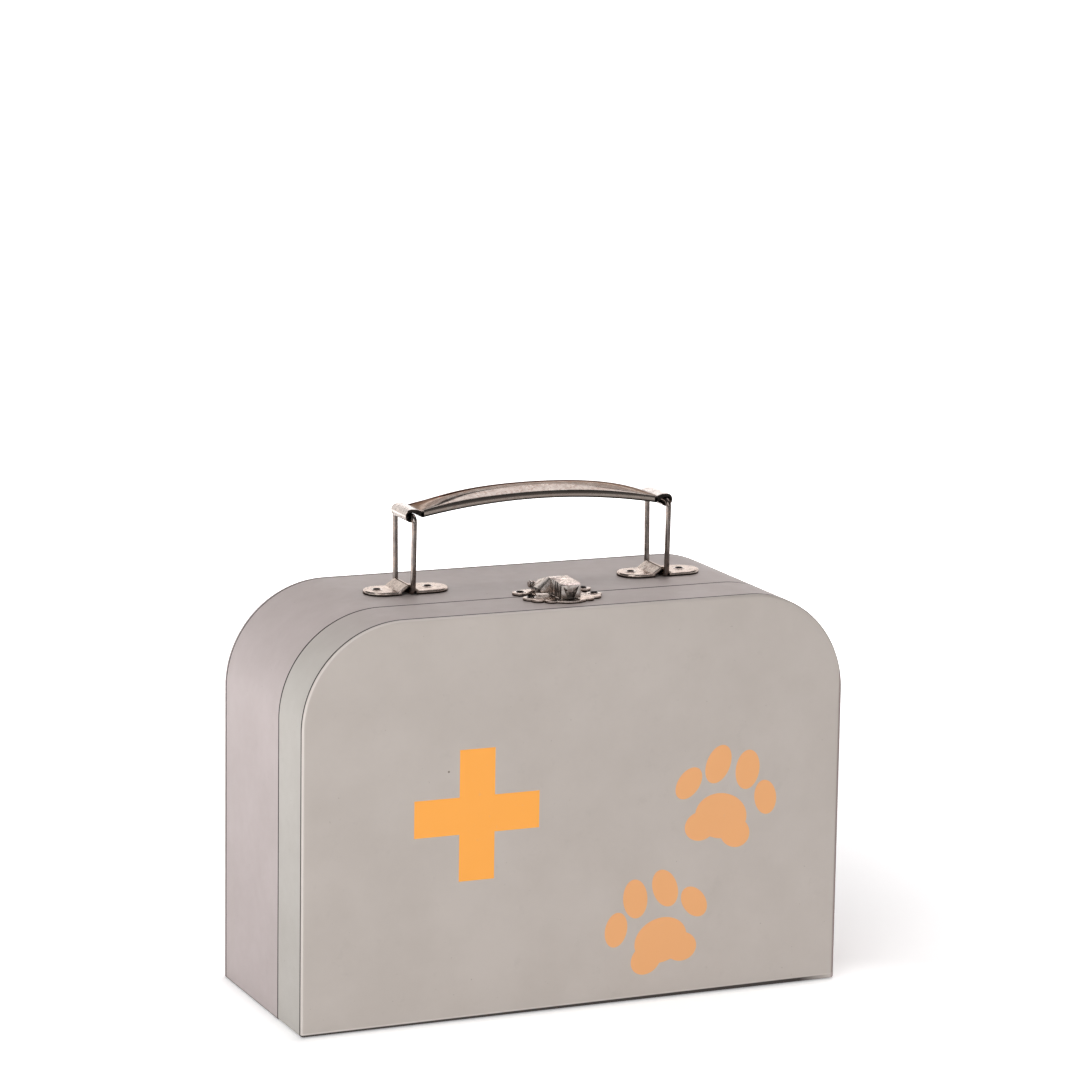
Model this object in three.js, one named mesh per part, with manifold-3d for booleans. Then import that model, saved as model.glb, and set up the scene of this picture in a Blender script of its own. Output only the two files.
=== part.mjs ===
// A child's toy vet case: two shallow trays of covered board that close on each other like a small suitcase.
// Millimetres, +X along the width, -Y is the front panel, +Z up. The origin is under the middle of the case,
// on the surface that it stands on. The handle, its wire links and the snap catch are nickel-plated steel.

import * as THREE from 'three';
import { mergeVertices } from 'three/addons/utils/BufferGeometryUtils.js';
import Module from 'manifold-3d';

const wasm = await Module();
wasm.setup();

// Case
const caseWidth = 250;
const caseDepth = 97;
const caseHeight = 176;
const cornerRadius = 45;
const lidDepth = 29;
const boardThickness = 2;
const seamGap = 0.3;

// Joint strips, collar, linings and hinge tape
const buttGap = 0.3;
const stripWidth = 28;
const stripThickness = 0.8;
const stripEndGap = 2;
const collarThickness = 1.2;
const collarReach = 6;
const collarGrip = 15;
const collarFoot = 20;
const collarRelief = 44;
const collarClearance = 0.4;
const liningThickness = 0.4;
const liningClearance = 0.5;
const tapeWidth = 14;
const tapeThickness = 0.4;
const tapeEndGap = 2;
const tapeClearance = 0.1;

// Handle plates: the tent and the rivets stand to the left of the plate's middle. The inset is a link's distance
// from the bend of the case's corner.
const linkInset = 20.4;
const handleOffset = 1.3;
const handleSetback = 7.3;
const plateLength = 38;
const plateWidth = 16.6;
const plateHeight = 1.7;
const plateLead = 1.5;
const sheetThickness = 0.8;
const ridgeOffset = -0.9;
const tentWidth = 9.2;
const tentHeight = 4.8;
const tunnelWidth = 5.6;
const plateRivetSpacing = 23.4;

// Wire links
const wireDiameter = 2.3;
const linkHeight = 32.9;
const linkFootWidth = 20.5;
const linkHeadWidth = 22.4;
const linkBend = 2.6;
const linkFootHeight = 1.5;
const linkButtGap = 0.4;

// Grip: an arched and crowned sheet between two flat tabs, whose ends are rolled round the links
const gripWidth = 17;
const gripSheet = 0.6;
const gripTab = 7;
const gripRise = 4.75;
const gripCrown = 3.4;
const crownPower = 4;
const gripLip = 2.7;
const gripSteps = 26;
const crownSteps = 8;
const rollClearance = 0.3;
const rollOpening = 60;

// Rivets and washers
const rivetShank = 3;
const rivetBore = 2.2;
const rivetHead = 5;
const rivetHeadHeight = 0.55;
const rivetHeadEdge = 0.2;
const rivetTail = 4.6;
const rivetTailHeight = 0.6;
const handleWasherDiameter = 7.6;
const catchWasherDiameter = 6.4;
const washerThickness = 0.6;

// Catch plates, set on by hand a little off centre
const catchOffset = 0.5;
const catchSheet = 1.2;
const catchSeamGap = 0.65;
const earSpacing = 29.4;
const earRadius = 3.4;
const strikeNeckWidth = 22;
const strikeEarReach = 8;
const scallopReach = 9;
const scallopTurn = 28;
const scallopCount = 2;
const scallopRadius = 3.1;
const strikeFrontReach = 21.2;
const strikeFrontRadius = 9.7;
const tongueWidth = 4.4;
const tongueReach = 15.8;
const tongueThickness = 1;
const tongueHeight = 3.7;
const baseEarSetback = 3.6;
const catchBaseWidth = 22;
const catchBaseDepth = 8.9;

// Catch lever: a long narrow head over the tongue, and a wider hood between its pin eyes
const leverSheet = 0.8;
const headWidth = 9;
const headReach = 17;
const headNose = 0.8;
const headFoot = 1.6;
const headNoseHeight = 7.2;
const headFrontHeight = 7.9;
const leverCrestHeight = 8.4;
const leverCrestReach = 2;
const leverTipHeight = 4.1;
const leverTipWidth = 0.8;
const cheekGap = 3.2;
const hoodWidth = 18;
const hoodReach = 5.3;
const hoodBack = 3.9;
const hoodBackHeight = 6.2;
const hoodFoot = 2;
const hoodEaves = 3.6;
const hoodShoulderWidth = 13;
const hoodShoulderHeight = 6;
const leverEyeRadius = 1.7;

// Catch pin, its lugs and the spring
const pinSetback = 6.4;
const pinHeight = 3.8;
const pinDiameter = 1.6;
const pinHeadDiameter = 2.8;
const pinHeadThickness = 0.5;
const lugThickness = 0.8;
const lugRadius = 1.5;
const springWidth = 4.6;
const springThickness = 0.4;
const springFront = 1.4;
const springBack = 8.4;
const springCurl = 1.1;

// Clearances and fineness
const fitGap = 0.15;
const runningGap = 0.3;
const sideGap = 0.4;
const overrun = 1;
const curveSteps = 16;
const smallSteps = 12;
const earSteps = 20;
const linkSteps = 76;
const wireSideSteps = 4;
const mergeTolerance = 1e-4;

// Derived places
const handleSpacing = caseWidth - 2 * (cornerRadius + linkInset);
const frontFace = -caseDepth / 2;
const backFace = caseDepth / 2;
const seam = frontFace + lidDepth;
const lidBack = seam - seamGap / 2;
const baseFront = seam + seamGap / 2;
const panelFront = backFace - boardThickness;
const panelBack = frontFace + boardThickness;
const tapeHalf = caseWidth / 2 - tapeEndGap;
const collarFront = seam - collarReach;
const collarBack = seam + collarGrip;
const collarInset = boardThickness + collarClearance;
const wireRadius = wireDiameter / 2;
const rollInner = wireRadius + rollClearance;
const rollOuter = rollInner + gripSheet;
const shankRadius = rivetShank / 2;
const holeRadius = shankRadius + runningGap;
const pinRadius = pinDiameter / 2;
const quarterTurn = Math.PI / 2;
const degree = Math.PI / 180;

// Finishes
const coveredBoard = () => new THREE.MeshStandardMaterial({ color: 0xaeaba5, roughness: 0.55, metalness: 0 });
const greyBoard = () => new THREE.MeshStandardMaterial({ color: 0x8f8b84, roughness: 0.9, metalness: 0 });
const liningPaper = () => new THREE.MeshStandardMaterial({ color: 0xe9e5dc, roughness: 0.85, metalness: 0 });
const hingeTape = () => new THREE.MeshStandardMaterial({ color: 0xa5a29b, roughness: 0.7, metalness: 0 });
const nickel = () => new THREE.MeshStandardMaterial({ color: 0xcfc8bf, roughness: 0.22, metalness: 1 });
const springSteel = () => new THREE.MeshStandardMaterial({ color: 0x8d8a86, roughness: 0.4, metalness: 1 });

// A closed geometry as a solid that can be joined and cut
function solid(geometry) {
  geometry.deleteAttribute('normal');
  geometry.deleteAttribute('uv');
  const merged = mergeVertices(geometry, mergeTolerance);
  const index = merged.index.array;
  const triangles = [];
  for (let i = 0; i < index.length; i += 3) {
    const [a, b, c] = [index[i], index[i + 1], index[i + 2]];
    if (a !== b && b !== c && c !== a) triangles.push(a, b, c);
  }
  return new wasm.Manifold(new wasm.Mesh({
    numProp: 3,
    vertProperties: new Float32Array(merged.attributes.position.array),
    triVerts: new Uint32Array(triangles),
  }));
}

// A named piece made from a solid
function piece(name, body, material) {
  const { vertProperties, triVerts } = body.getMesh();
  const geometry = new THREE.BufferGeometry();
  geometry.setAttribute('position', new THREE.BufferAttribute(vertProperties, 3));
  geometry.setIndex(new THREE.BufferAttribute(triVerts, 1));
  geometry.computeVertexNormals();
  const mesh = new THREE.Mesh(geometry, material);
  mesh.name = name;
  return mesh;
}

// An outline in X and Y, thick from bottom to top in Z
function lying(shape, bottom, top) {
  const depth = top - bottom;
  const geometry = new THREE.ExtrudeGeometry(shape, { depth, bevelEnabled: false, curveSegments: curveSteps });
  geometry.translate(0, 0, bottom);
  return solid(geometry);
}

// An outline in X and Z, deep from front to back in Y
function upright(shape, front, back) {
  const depth = back - front;
  const geometry = new THREE.ExtrudeGeometry(shape, { depth, bevelEnabled: false, curveSegments: curveSteps });
  geometry.rotateX(quarterTurn);
  geometry.translate(0, back, 0);
  return solid(geometry);
}

// An outline in Y and Z, wide from left to right in X
function sideways(shape, left, right) {
  const depth = right - left;
  const geometry = new THREE.ExtrudeGeometry(shape, { depth, bevelEnabled: false, curveSegments: curveSteps });
  const turn = new THREE.Matrix4();
  turn.makeBasis(new THREE.Vector3(0, 1, 0), new THREE.Vector3(0, 0, 1), new THREE.Vector3(1, 0, 0));
  geometry.applyMatrix4(turn);
  geometry.translate(left, 0, 0);
  return solid(geometry);
}

// A box between two corners
function block(x0, x1, y0, y1, z0, z1) {
  const geometry = new THREE.BoxGeometry(x1 - x0, y1 - y0, z1 - z0);
  geometry.translate((x0 + x1) / 2, (y0 + y1) / 2, (z0 + z1) / 2);
  return solid(geometry);
}

// A round peg that stands in Z
function standingPeg(x, y, radius, bottom, top, steps = smallSteps) {
  const geometry = new THREE.CylinderGeometry(radius, radius, top - bottom, steps);
  geometry.rotateX(quarterTurn);
  geometry.translate(x, y, (bottom + top) / 2);
  return solid(geometry);
}

// A round peg that lies in X
function crossPeg(y, z, radius, left, right, steps = smallSteps) {
  const geometry = new THREE.CylinderGeometry(radius, radius, right - left, steps);
  geometry.rotateZ(quarterTurn);
  geometry.translate((left + right) / 2, y, z);
  return solid(geometry);
}

// A closed profile of radius and height, turned round the Z axis
function turned(profile) {
  const points = profile.map(([radius, height]) => new THREE.Vector2(radius, height));
  const geometry = new THREE.LatheGeometry([...points, points[0]], smallSteps);
  geometry.rotateX(quarterTurn);
  return solid(geometry);
}

function outline(points) {
  return new THREE.Shape(points.map(([x, y]) => new THREE.Vector2(x, y)));
}

// The case seen from the front: square at the foot, round at the two upper corners
function caseOutline(inset) {
  const half = caseWidth / 2 - inset;
  const top = caseHeight - inset;
  const radius = cornerRadius - inset;
  const shape = new THREE.Shape();
  shape.moveTo(-half, inset);
  shape.lineTo(half, inset);
  shape.lineTo(half, top - radius);
  shape.absarc(half - radius, top - radius, radius, 0, quarterTurn, false);
  shape.absarc(radius - half, top - radius, radius, quarterTurn, 2 * quarterTurn, false);
  return shape;
}

// A strip of board bent round the outline, its two ends butted under the middle of the case
function bentRim(front, back) {
  const ring = caseOutline(0);
  ring.holes.push(caseOutline(boardThickness));
  const butt = buttGap / 2;
  const slit = block(-butt, butt, front - overrun, back + overrun, -overrun, boardThickness + overrun);
  return upright(ring, front, back).subtract(slit);
}

// The shallow step under the rim that takes the hinge tape
function tapeStep(front, back) {
  const half = tapeHalf + tapeClearance;
  return block(-half, half, front, back, -overrun, tapeThickness);
}

function tapeLeaf(front, back) {
  return block(-tapeHalf, tapeHalf, front, back, 0, tapeThickness);
}

function jointStrip(front, back) {
  const half = stripWidth / 2;
  const top = boardThickness + stripThickness;
  return block(-half, half, front + stripEndGap, back - stripEndGap, boardThickness, top);
}

// Places of the rivets, on the top of the case
const sides = [['left', -1], ['right', 1]];
const ends = [['outer', -1], ['inner', 1]];
const linkX = side => side * handleSpacing / 2;
const ridgeX = side => linkX(side) + ridgeOffset;
const plateRivetX = end => end * plateRivetSpacing / 2;
const earX = side => side * earSpacing / 2;

function boardHole(x, y) {
  return standingPeg(x, y, holeRadius, caseHeight - boardThickness - overrun, caseHeight + overrun);
}

function handleHoles() {
  return sides.flatMap(([, side]) => ends.map(([, end]) =>
    boardHole(handleOffset + ridgeX(side) + plateRivetX(end), handleSetback)));
}

function catchHoles(setback) {
  return sides.map(([, side]) => boardHole(catchOffset + earX(side), seam + setback));
}

const cutAll = (body, cutters) => cutters.reduce((left, cutter) => left.subtract(cutter), body);

// Base tray
function baseTray() {
  const tray = new THREE.Group();
  const panel = upright(caseOutline(0), panelFront, backFace);
  const tapeBack = baseFront + tapeWidth + tapeClearance;
  const step = tapeStep(baseFront - overrun, tapeBack);
  const rim = cutAll(bentRim(baseFront, panelFront), [step, ...handleHoles(), ...catchHoles(baseEarSetback)]);
  const strip = jointStrip(baseFront, panelFront);
  const lining = upright(caseOutline(boardThickness + liningClearance), panelFront - liningThickness, panelFront);
  tray.add(piece('base_back_panel', panel, coveredBoard()));
  tray.add(piece('base_rim', rim, coveredBoard()));
  tray.add(piece('base_rim_joint_strip', strip, greyBoard()));
  for (const [word, side] of sides) tray.add(piece('base_collar_' + word, collar(side), liningPaper()));
  tray.add(piece('base_lining_sheet', lining, liningPaper()));
  tray.add(piece('base_hinge_tape', tapeLeaf(baseFront, baseFront + tapeWidth), hingeTape()));
  return tray;
}

// The inner collar that the lid closes over, on both sides of the mouth, with a relief for the catch at the top
function collar(side) {
  const ring = caseOutline(collarInset);
  ring.holes.push(caseOutline(collarInset + collarThickness));
  const half = caseWidth / 2;
  const front = collarFront - overrun;
  const back = collarBack + overrun;
  const relief = collarRelief / 2;
  const [left, right] = side < 0 ? [-relief, half] : [-half, relief];
  return cutAll(upright(ring, collarFront, collarBack), [
    block(-half, half, front, back, 0, collarFoot),
    block(left, right, front, back, 0, caseHeight),
  ]);
}

// Lid tray
function lidTray() {
  const tray = new THREE.Group();
  const panel = upright(caseOutline(0), frontFace, panelBack);
  const tapeFront = lidBack - tapeWidth - tapeClearance;
  const step = tapeStep(tapeFront, lidBack + overrun);
  const rim = cutAll(bentRim(panelBack, lidBack), [step, ...catchHoles(-strikeEarReach)]);
  const strip = jointStrip(panelBack, lidBack);
  const lining = upright(caseOutline(boardThickness + liningClearance), panelBack, panelBack + liningThickness);
  tray.add(piece('lid_front_panel', panel, coveredBoard()));
  tray.add(piece('lid_rim', rim, coveredBoard()));
  tray.add(piece('lid_rim_joint_strip', strip, greyBoard()));
  tray.add(piece('lid_lining_sheet', lining, liningPaper()));
  tray.add(piece('lid_hinge_tape', tapeLeaf(lidBack - tapeWidth, lidBack), hingeTape()));
  return tray;
}

// A tubular rivet: domed head, bored shank and a tail that is spread over its washer. Zero is under the head.
function rivet(grip) {
  const bore = rivetBore / 2;
  const head = rivetHead / 2;
  const crown = (bore + head) / 2;
  const tail = rivetTail / 2;
  const end = -grip - rivetTailHeight;
  return turned([
    [bore, end],
    [tail, end],
    [tail, -grip],
    [shankRadius, -grip],
    [shankRadius, 0],
    [head, 0],
    [head, rivetHeadEdge],
    [crown, rivetHeadHeight],
    [bore, rivetHeadEdge],
  ]);
}

function washer(diameter) {
  const outer = diameter / 2;
  return turned([
    [holeRadius, -washerThickness],
    [outer, -washerThickness],
    [outer, 0],
    [holeRadius, 0],
  ]);
}

// A rivet and its washer through the sheet, the board and what lies under it
function rivetWithWasher(name, x, y, sheetTop, washerDiameter) {
  const set = new THREE.Group();
  const grip = sheetTop + boardThickness + washerThickness;
  const pin = piece(name + '_rivet', rivet(grip), nickel());
  const ring = piece(name + '_washer', washer(washerDiameter), nickel());
  pin.position.set(x, y, sheetTop);
  ring.position.set(x, y, -boardThickness);
  set.add(pin, ring);
  return set;
}

// Handle plate: a pressed plate with a turned-down edge and a tent across it, under which the link's foot turns
function stadium(middle, length, width) {
  const radius = width / 2;
  const reach = length / 2 - radius;
  const shape = new THREE.Shape();
  shape.moveTo(middle - reach, -radius);
  shape.absarc(middle + reach, 0, radius, -quarterTurn, quarterTurn, false);
  shape.absarc(middle - reach, 0, radius, quarterTurn, 3 * quarterTurn, false);
  return shape;
}

function handlePlate() {
  const halfTent = tentWidth / 2;
  const halfTunnel = tunnelWidth / 2;
  const front = -plateWidth / 2;
  const back = plateWidth / 2;
  const slope = (tentHeight - plateHeight) / halfTent;
  const innerHeight = tentHeight - sheetThickness * Math.hypot(1, slope);
  const underside = plateHeight - sheetThickness;
  const inset = 2 * sheetThickness;
  const shell = lying(stadium(plateLead, plateLength, plateWidth), 0, plateHeight);
  const tent = upright(outline([[-halfTent, underside], [halfTent, underside], [halfTent, plateHeight],
    [0, tentHeight], [-halfTent, plateHeight]]), front, back);
  const hollow = lying(stadium(plateLead, plateLength - inset, plateWidth - inset), -overrun, underside);
  const tunnel = upright(outline([[-halfTunnel, -overrun], [halfTunnel, -overrun],
    [halfTunnel, innerHeight - slope * halfTunnel], [0, innerHeight],
    [-halfTunnel, innerHeight - slope * halfTunnel]]), front - overrun, back + overrun);
  const holes = ends.map(([, end]) => standingPeg(plateRivetX(end), 0, holeRadius, 0, plateHeight + overrun));
  return cutAll(shell.add(tent), [hollow, tunnel, ...holes]);
}

// Wire link: one length of wire bent into a frame, its ends butted in the middle of the foot
function bentPath(corners, bend) {
  const path = new THREE.CurvePath();
  let from = corners[0];
  for (let i = 1; i < corners.length - 1; i += 1) {
    const corner = corners[i];
    const before = corner.clone().sub(corners[i - 1]).setLength(bend);
    const after = corners[i + 1].clone().sub(corner).setLength(bend);
    const start = corner.clone().sub(before);
    const finish = corner.clone().add(after);
    path.add(new THREE.LineCurve3(from, start));
    path.add(new THREE.QuadraticBezierCurve3(start, corner, finish));
    from = finish;
  }
  path.add(new THREE.LineCurve3(from, corners[corners.length - 1]));
  return path;
}

function wireLink() {
  const foot = linkFootWidth / 2;
  const head = linkHeadWidth / 2;
  const butt = linkButtGap / 2;
  const corners = [[butt, 0], [foot, 0], [head, linkHeight], [-head, linkHeight], [-foot, 0], [-butt, 0]];
  const path = bentPath(corners.map(([y, z]) => new THREE.Vector3(0, y, z)), linkBend);
  const wire = new THREE.Shape();
  wire.absarc(0, 0, wireRadius, 0, 4 * quarterTurn, false);
  return solid(new THREE.ExtrudeGeometry(wire, {
    steps: linkSteps,
    curveSegments: wireSideSteps,
    extrudePath: path,
    bevelEnabled: false,
  }));
}

// Grip, seen from the front: its edges follow a circle of this radius between the tabs
const gripEnd = handleSpacing / 2 - gripTab;
const gripBend = (gripEnd * gripEnd + gripRise * gripRise) / (2 * gripRise);
const gripBendCentre = rollOuter + gripRise - gripBend;

// The crowned sheet: a thin box whose points are lifted to the arch, and to the crown that fades out at both ends
function gripSheetBody() {
  const edge = gripWidth / 2;
  const geometry = new THREE.BoxGeometry(2 * gripEnd, gripWidth, gripSheet, gripSteps, crownSteps, 1);
  const points = geometry.attributes.position;
  for (let i = 0; i < points.count; i += 1) {
    const x = points.getX(i);
    const arch = gripBendCentre + Math.sqrt(gripBend * gripBend - x * x) - gripSheet / 2;
    const along = 1 - Math.abs(x / gripEnd) ** crownPower;
    const across = 1 - (points.getY(i) / edge) ** 2;
    points.setZ(i, points.getZ(i) + arch + gripCrown * along * across);
  }
  return solid(geometry);
}

// The turned-down edge along one side of the grip
function gripEdge(front) {
  const tilt = Math.asin(gripEnd / gripBend);
  const lip = new THREE.Shape();
  lip.absarc(0, gripBendCentre, gripBend - gripSheet / 2, quarterTurn + tilt, quarterTurn - tilt, true);
  lip.absarc(0, gripBendCentre, gripBend - gripLip, quarterTurn - tilt, quarterTurn + tilt, false);
  return upright(lip, front, front + gripSheet);
}

// The tab at one end of the grip, rolled round the head of the link
function gripTabRoll(side) {
  const half = handleSpacing / 2;
  const foot = gripEnd - overrun;
  const turn = angle => side > 0 ? angle : 2 * quarterTurn - angle;
  const last = rollOpening * degree / 2 - 2 * quarterTurn;
  const tab = new THREE.Shape();
  tab.moveTo(side * foot, rollInner);
  tab.lineTo(side * foot, rollOuter);
  tab.absarc(side * half, 0, rollOuter, turn(quarterTurn), turn(last), side > 0);
  tab.absarc(side * half, 0, rollInner, turn(last), turn(quarterTurn), side < 0);
  return upright(tab, -gripWidth / 2, gripWidth / 2);
}

function handleGrip() {
  const edge = gripWidth / 2;
  return gripSheetBody()
    .add(gripEdge(-edge))
    .add(gripEdge(edge - gripSheet))
    .add(gripTabRoll(-1))
    .add(gripTabRoll(1));
}

// Handle: two plates riveted to the base, a link in each, and the grip between the links
function handle() {
  const set = new THREE.Group();
  set.position.set(handleOffset, handleSetback, caseHeight);
  for (const [word, side] of sides) {
    const plate = piece(word + '_handle_plate', handlePlate(), nickel());
    const link = piece(word + '_wire_link', wireLink(), nickel());
    plate.position.set(ridgeX(side), 0, 0);
    link.position.set(linkX(side), 0, linkFootHeight);
    set.add(plate, link);
    for (const [end, way] of ends) {
      const name = word + '_handle_' + end;
      const x = ridgeX(side) + side * plateRivetX(-way);
      set.add(rivetWithWasher(name, x, 0, plateHeight, handleWasherDiameter));
    }
  }
  const grip = piece('handle_grip', handleGrip(), nickel());
  grip.position.set(0, 0, linkFootHeight + linkHeight);
  set.add(grip);
  return set;
}

const disc = (x, y, radius) => standingPeg(x, y, radius, 0, catchSheet, earSteps);

function earHoles(y) {
  return sides.map(([, side]) => standingPeg(earX(side), y, holeRadius, -overrun, catchSheet + overrun));
}

// Strike plate on the lid: a fan with a round front, two ears, scallops between them, and a tongue
function strikePlate() {
  const half = strikeNeckWidth / 2;
  const fan = new THREE.Shape();
  fan.absellipse(0, -strikeEarReach, earX(1), scallopReach, 2 * quarterTurn, 4 * quarterTurn, false, 0);
  let plate = lying(fan, 0, catchSheet)
    .add(block(-half, half, -strikeEarReach, -catchSeamGap, 0, catchSheet))
    .add(disc(0, strikeFrontRadius - strikeFrontReach, strikeFrontRadius));
  for (const [, side] of sides) {
    plate = plate.add(disc(earX(side), -strikeEarReach, earRadius));
    for (let i = 1; i <= scallopCount; i += 1) {
      const angle = i * scallopTurn * degree;
      const y = -strikeEarReach - scallopReach * Math.sin(angle);
      plate = plate.add(disc(earX(side) * Math.cos(angle), y, scallopRadius));
    }
  }
  const tongueHalf = tongueWidth / 2;
  const tongue = block(-tongueHalf, tongueHalf, -tongueReach, tongueThickness - tongueReach, 0, tongueHeight);
  return cutAll(plate.add(tongue), earHoles(-strikeEarReach));
}

// Base plate of the catch: two ears, and two upright lugs that carry the pin inside the lever's hood
function catchBasePlate() {
  const half = catchBaseWidth / 2;
  const far = hoodWidth / 2 - leverSheet - sideGap;
  const near = far - lugThickness;
  let plate = lying(outline([
    [-earX(1), baseEarSetback - earRadius],
    [-half, catchSeamGap],
    [half, catchSeamGap],
    [earX(1), baseEarSetback - earRadius],
    [earX(1), baseEarSetback + earRadius],
    [half, catchBaseDepth],
    [-half, catchBaseDepth],
    [-earX(1), baseEarSetback + earRadius],
  ]), 0, catchSheet);
  for (const [, side] of sides) {
    const left = side < 0 ? -far : near;
    const right = left + lugThickness;
    const stem = block(left, right, pinSetback - lugRadius, pinSetback + lugRadius, 0, pinHeight);
    const eye = crossPeg(pinSetback, pinHeight, lugRadius, left, right, earSteps);
    plate = plate.add(disc(earX(side), baseEarSetback, earRadius)).add(stem).add(eye);
  }
  const bore = crossPeg(pinSetback, pinHeight, pinRadius + fitGap, -half, half);
  return cutAll(plate, [...earHoles(baseEarSetback), bore]);
}

// Pin with a flat head at each end, outside the lever's eyes
function catchPin() {
  const reach = hoodWidth / 2 + fitGap;
  const head = pinHeadDiameter / 2;
  const shaft = crossPeg(pinSetback, pinHeight, pinRadius, -reach, reach);
  const leftHead = crossPeg(pinSetback, pinHeight, head, -reach - pinHeadThickness, -reach);
  const rightHead = crossPeg(pinSetback, pinHeight, head, reach, reach + pinHeadThickness);
  return shaft.add(leftHead).add(rightHead);
}

// Leaf spring between the lugs, with an upturned front end under the lever's hood
function catchSpring() {
  const bottom = catchSheet;
  const top = catchSheet + springThickness;
  const profile = outline([
    [springFront, bottom],
    [springBack, bottom],
    [springBack, top],
    [springFront + springCurl, top],
    [springFront + springThickness / 2, top + springCurl],
    [springFront - springThickness / 2, top + springCurl],
  ]);
  return sideways(profile, -springWidth / 2, springWidth / 2);
}

// The lever's head, as a solid whose top and front are drawn in by the wall
function leverHead(wall, foot) {
  const half = headWidth / 2 - wall;
  const side = outline([
    [wall - headReach, foot],
    [-leverCrestReach, foot],
    [-leverCrestReach, leverCrestHeight - wall],
    [headNose - headReach, headFrontHeight - wall],
    [wall - headReach, headNoseHeight - wall / 2],
  ]);
  return sideways(side, -half, half);
}

// The lever's hood: hipped to both sides from the crest, and sloping down behind it
function leverHood(wall, foot, front, back) {
  const half = hoodWidth / 2 - wall;
  const crest = headWidth / 2 - wall / 2;
  const shoulder = hoodShoulderWidth / 2 - wall;
  const section = outline([
    [-half, foot],
    [half, foot],
    [half, hoodEaves],
    [shoulder, hoodShoulderHeight - wall / 2],
    [crest, leverCrestHeight - wall],
    [-crest, leverCrestHeight - wall],
    [-shoulder, hoodShoulderHeight - wall / 2],
    [-half, hoodEaves],
  ]);
  const side = outline([
    [front, foot],
    [back, foot],
    [back, hoodBackHeight - wall],
    [-leverCrestReach, leverCrestHeight - wall],
    [front, leverCrestHeight - wall],
  ]);
  return upright(section, front, back).intersect(sideways(side, -half, half));
}

// An eye for the pin, behind the hood's side wall
function leverEye(side) {
  const half = hoodWidth / 2;
  const left = side < 0 ? -half : half - leverSheet;
  const right = left + leverSheet;
  const arm = block(left, right, hoodBack - overrun, pinSetback, hoodFoot, hoodEaves);
  return arm.add(crossPeg(pinSetback, pinHeight, leverEyeRadius, left, right, earSteps));
}

// Lever: a pressed cap, open underneath. At the front a pointed tip hangs over its two cheeks, which draw together
// towards the foot.
function catchLever() {
  const inner = headWidth / 2 - leverSheet;
  const brow = headNoseHeight - leverSheet / 2;
  const tip = leverTipWidth / 2;
  const gap = cheekGap / 2;
  const notch = outline([
    [-gap, -overrun],
    [gap, -overrun],
    [gap, headFoot],
    [inner, brow],
    [tip, leverTipHeight],
    [-tip, leverTipHeight],
    [-inner, brow],
    [-gap, headFoot],
  ]);
  const frontWall = leverSheet + fitGap - headReach;
  const bore = crossPeg(pinSetback, pinHeight, pinRadius + fitGap, -hoodWidth, hoodWidth);
  const shell = leverHead(0, headFoot)
    .add(leverHood(0, hoodFoot, -hoodReach, hoodBack))
    .add(leverEye(-1))
    .add(leverEye(1));
  return cutAll(shell, [
    leverHead(leverSheet, -overrun),
    leverHood(leverSheet, -overrun, leverSheet - hoodReach, hoodBack + overrun),
    upright(notch, -headReach - overrun, frontWall),
    bore,
  ]);
}

// Catch: strike plate on the lid, base plate, pin, spring and lever on the base, all riveted
function snapCatch() {
  const set = new THREE.Group();
  set.position.set(catchOffset, seam, caseHeight);
  set.add(piece('catch_strike_plate', strikePlate(), nickel()));
  set.add(piece('catch_base_plate', catchBasePlate(), nickel()));
  set.add(piece('catch_pin', catchPin(), nickel()));
  set.add(piece('catch_spring', catchSpring(), springSteel()));
  set.add(piece('catch_lever', catchLever(), nickel()));
  for (const [word, side] of sides) {
    const x = earX(side);
    set.add(rivetWithWasher(word + '_strike', x, -strikeEarReach, catchSheet, catchWasherDiameter));
    set.add(rivetWithWasher(word + '_catch_base', x, baseEarSetback, catchSheet, catchWasherDiameter));
  }
  return set;
}

const vetCase = new THREE.Group();
vetCase.add(baseTray());
vetCase.add(lidTray());
vetCase.add(handle());
vetCase.add(snapCatch());

export default vetCase;
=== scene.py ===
# A child's toy vet case: two shallow trays of covered board that close on each other like a small suitcase,
# with a wire handle and a snap catch of nickel-plated steel. The file follows the case as it is put together.
# Lengths are in metres, so a size in millimetres is written as a number times mm.

import math

import bmesh
import bpy
from mathutils import Matrix, Vector


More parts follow.
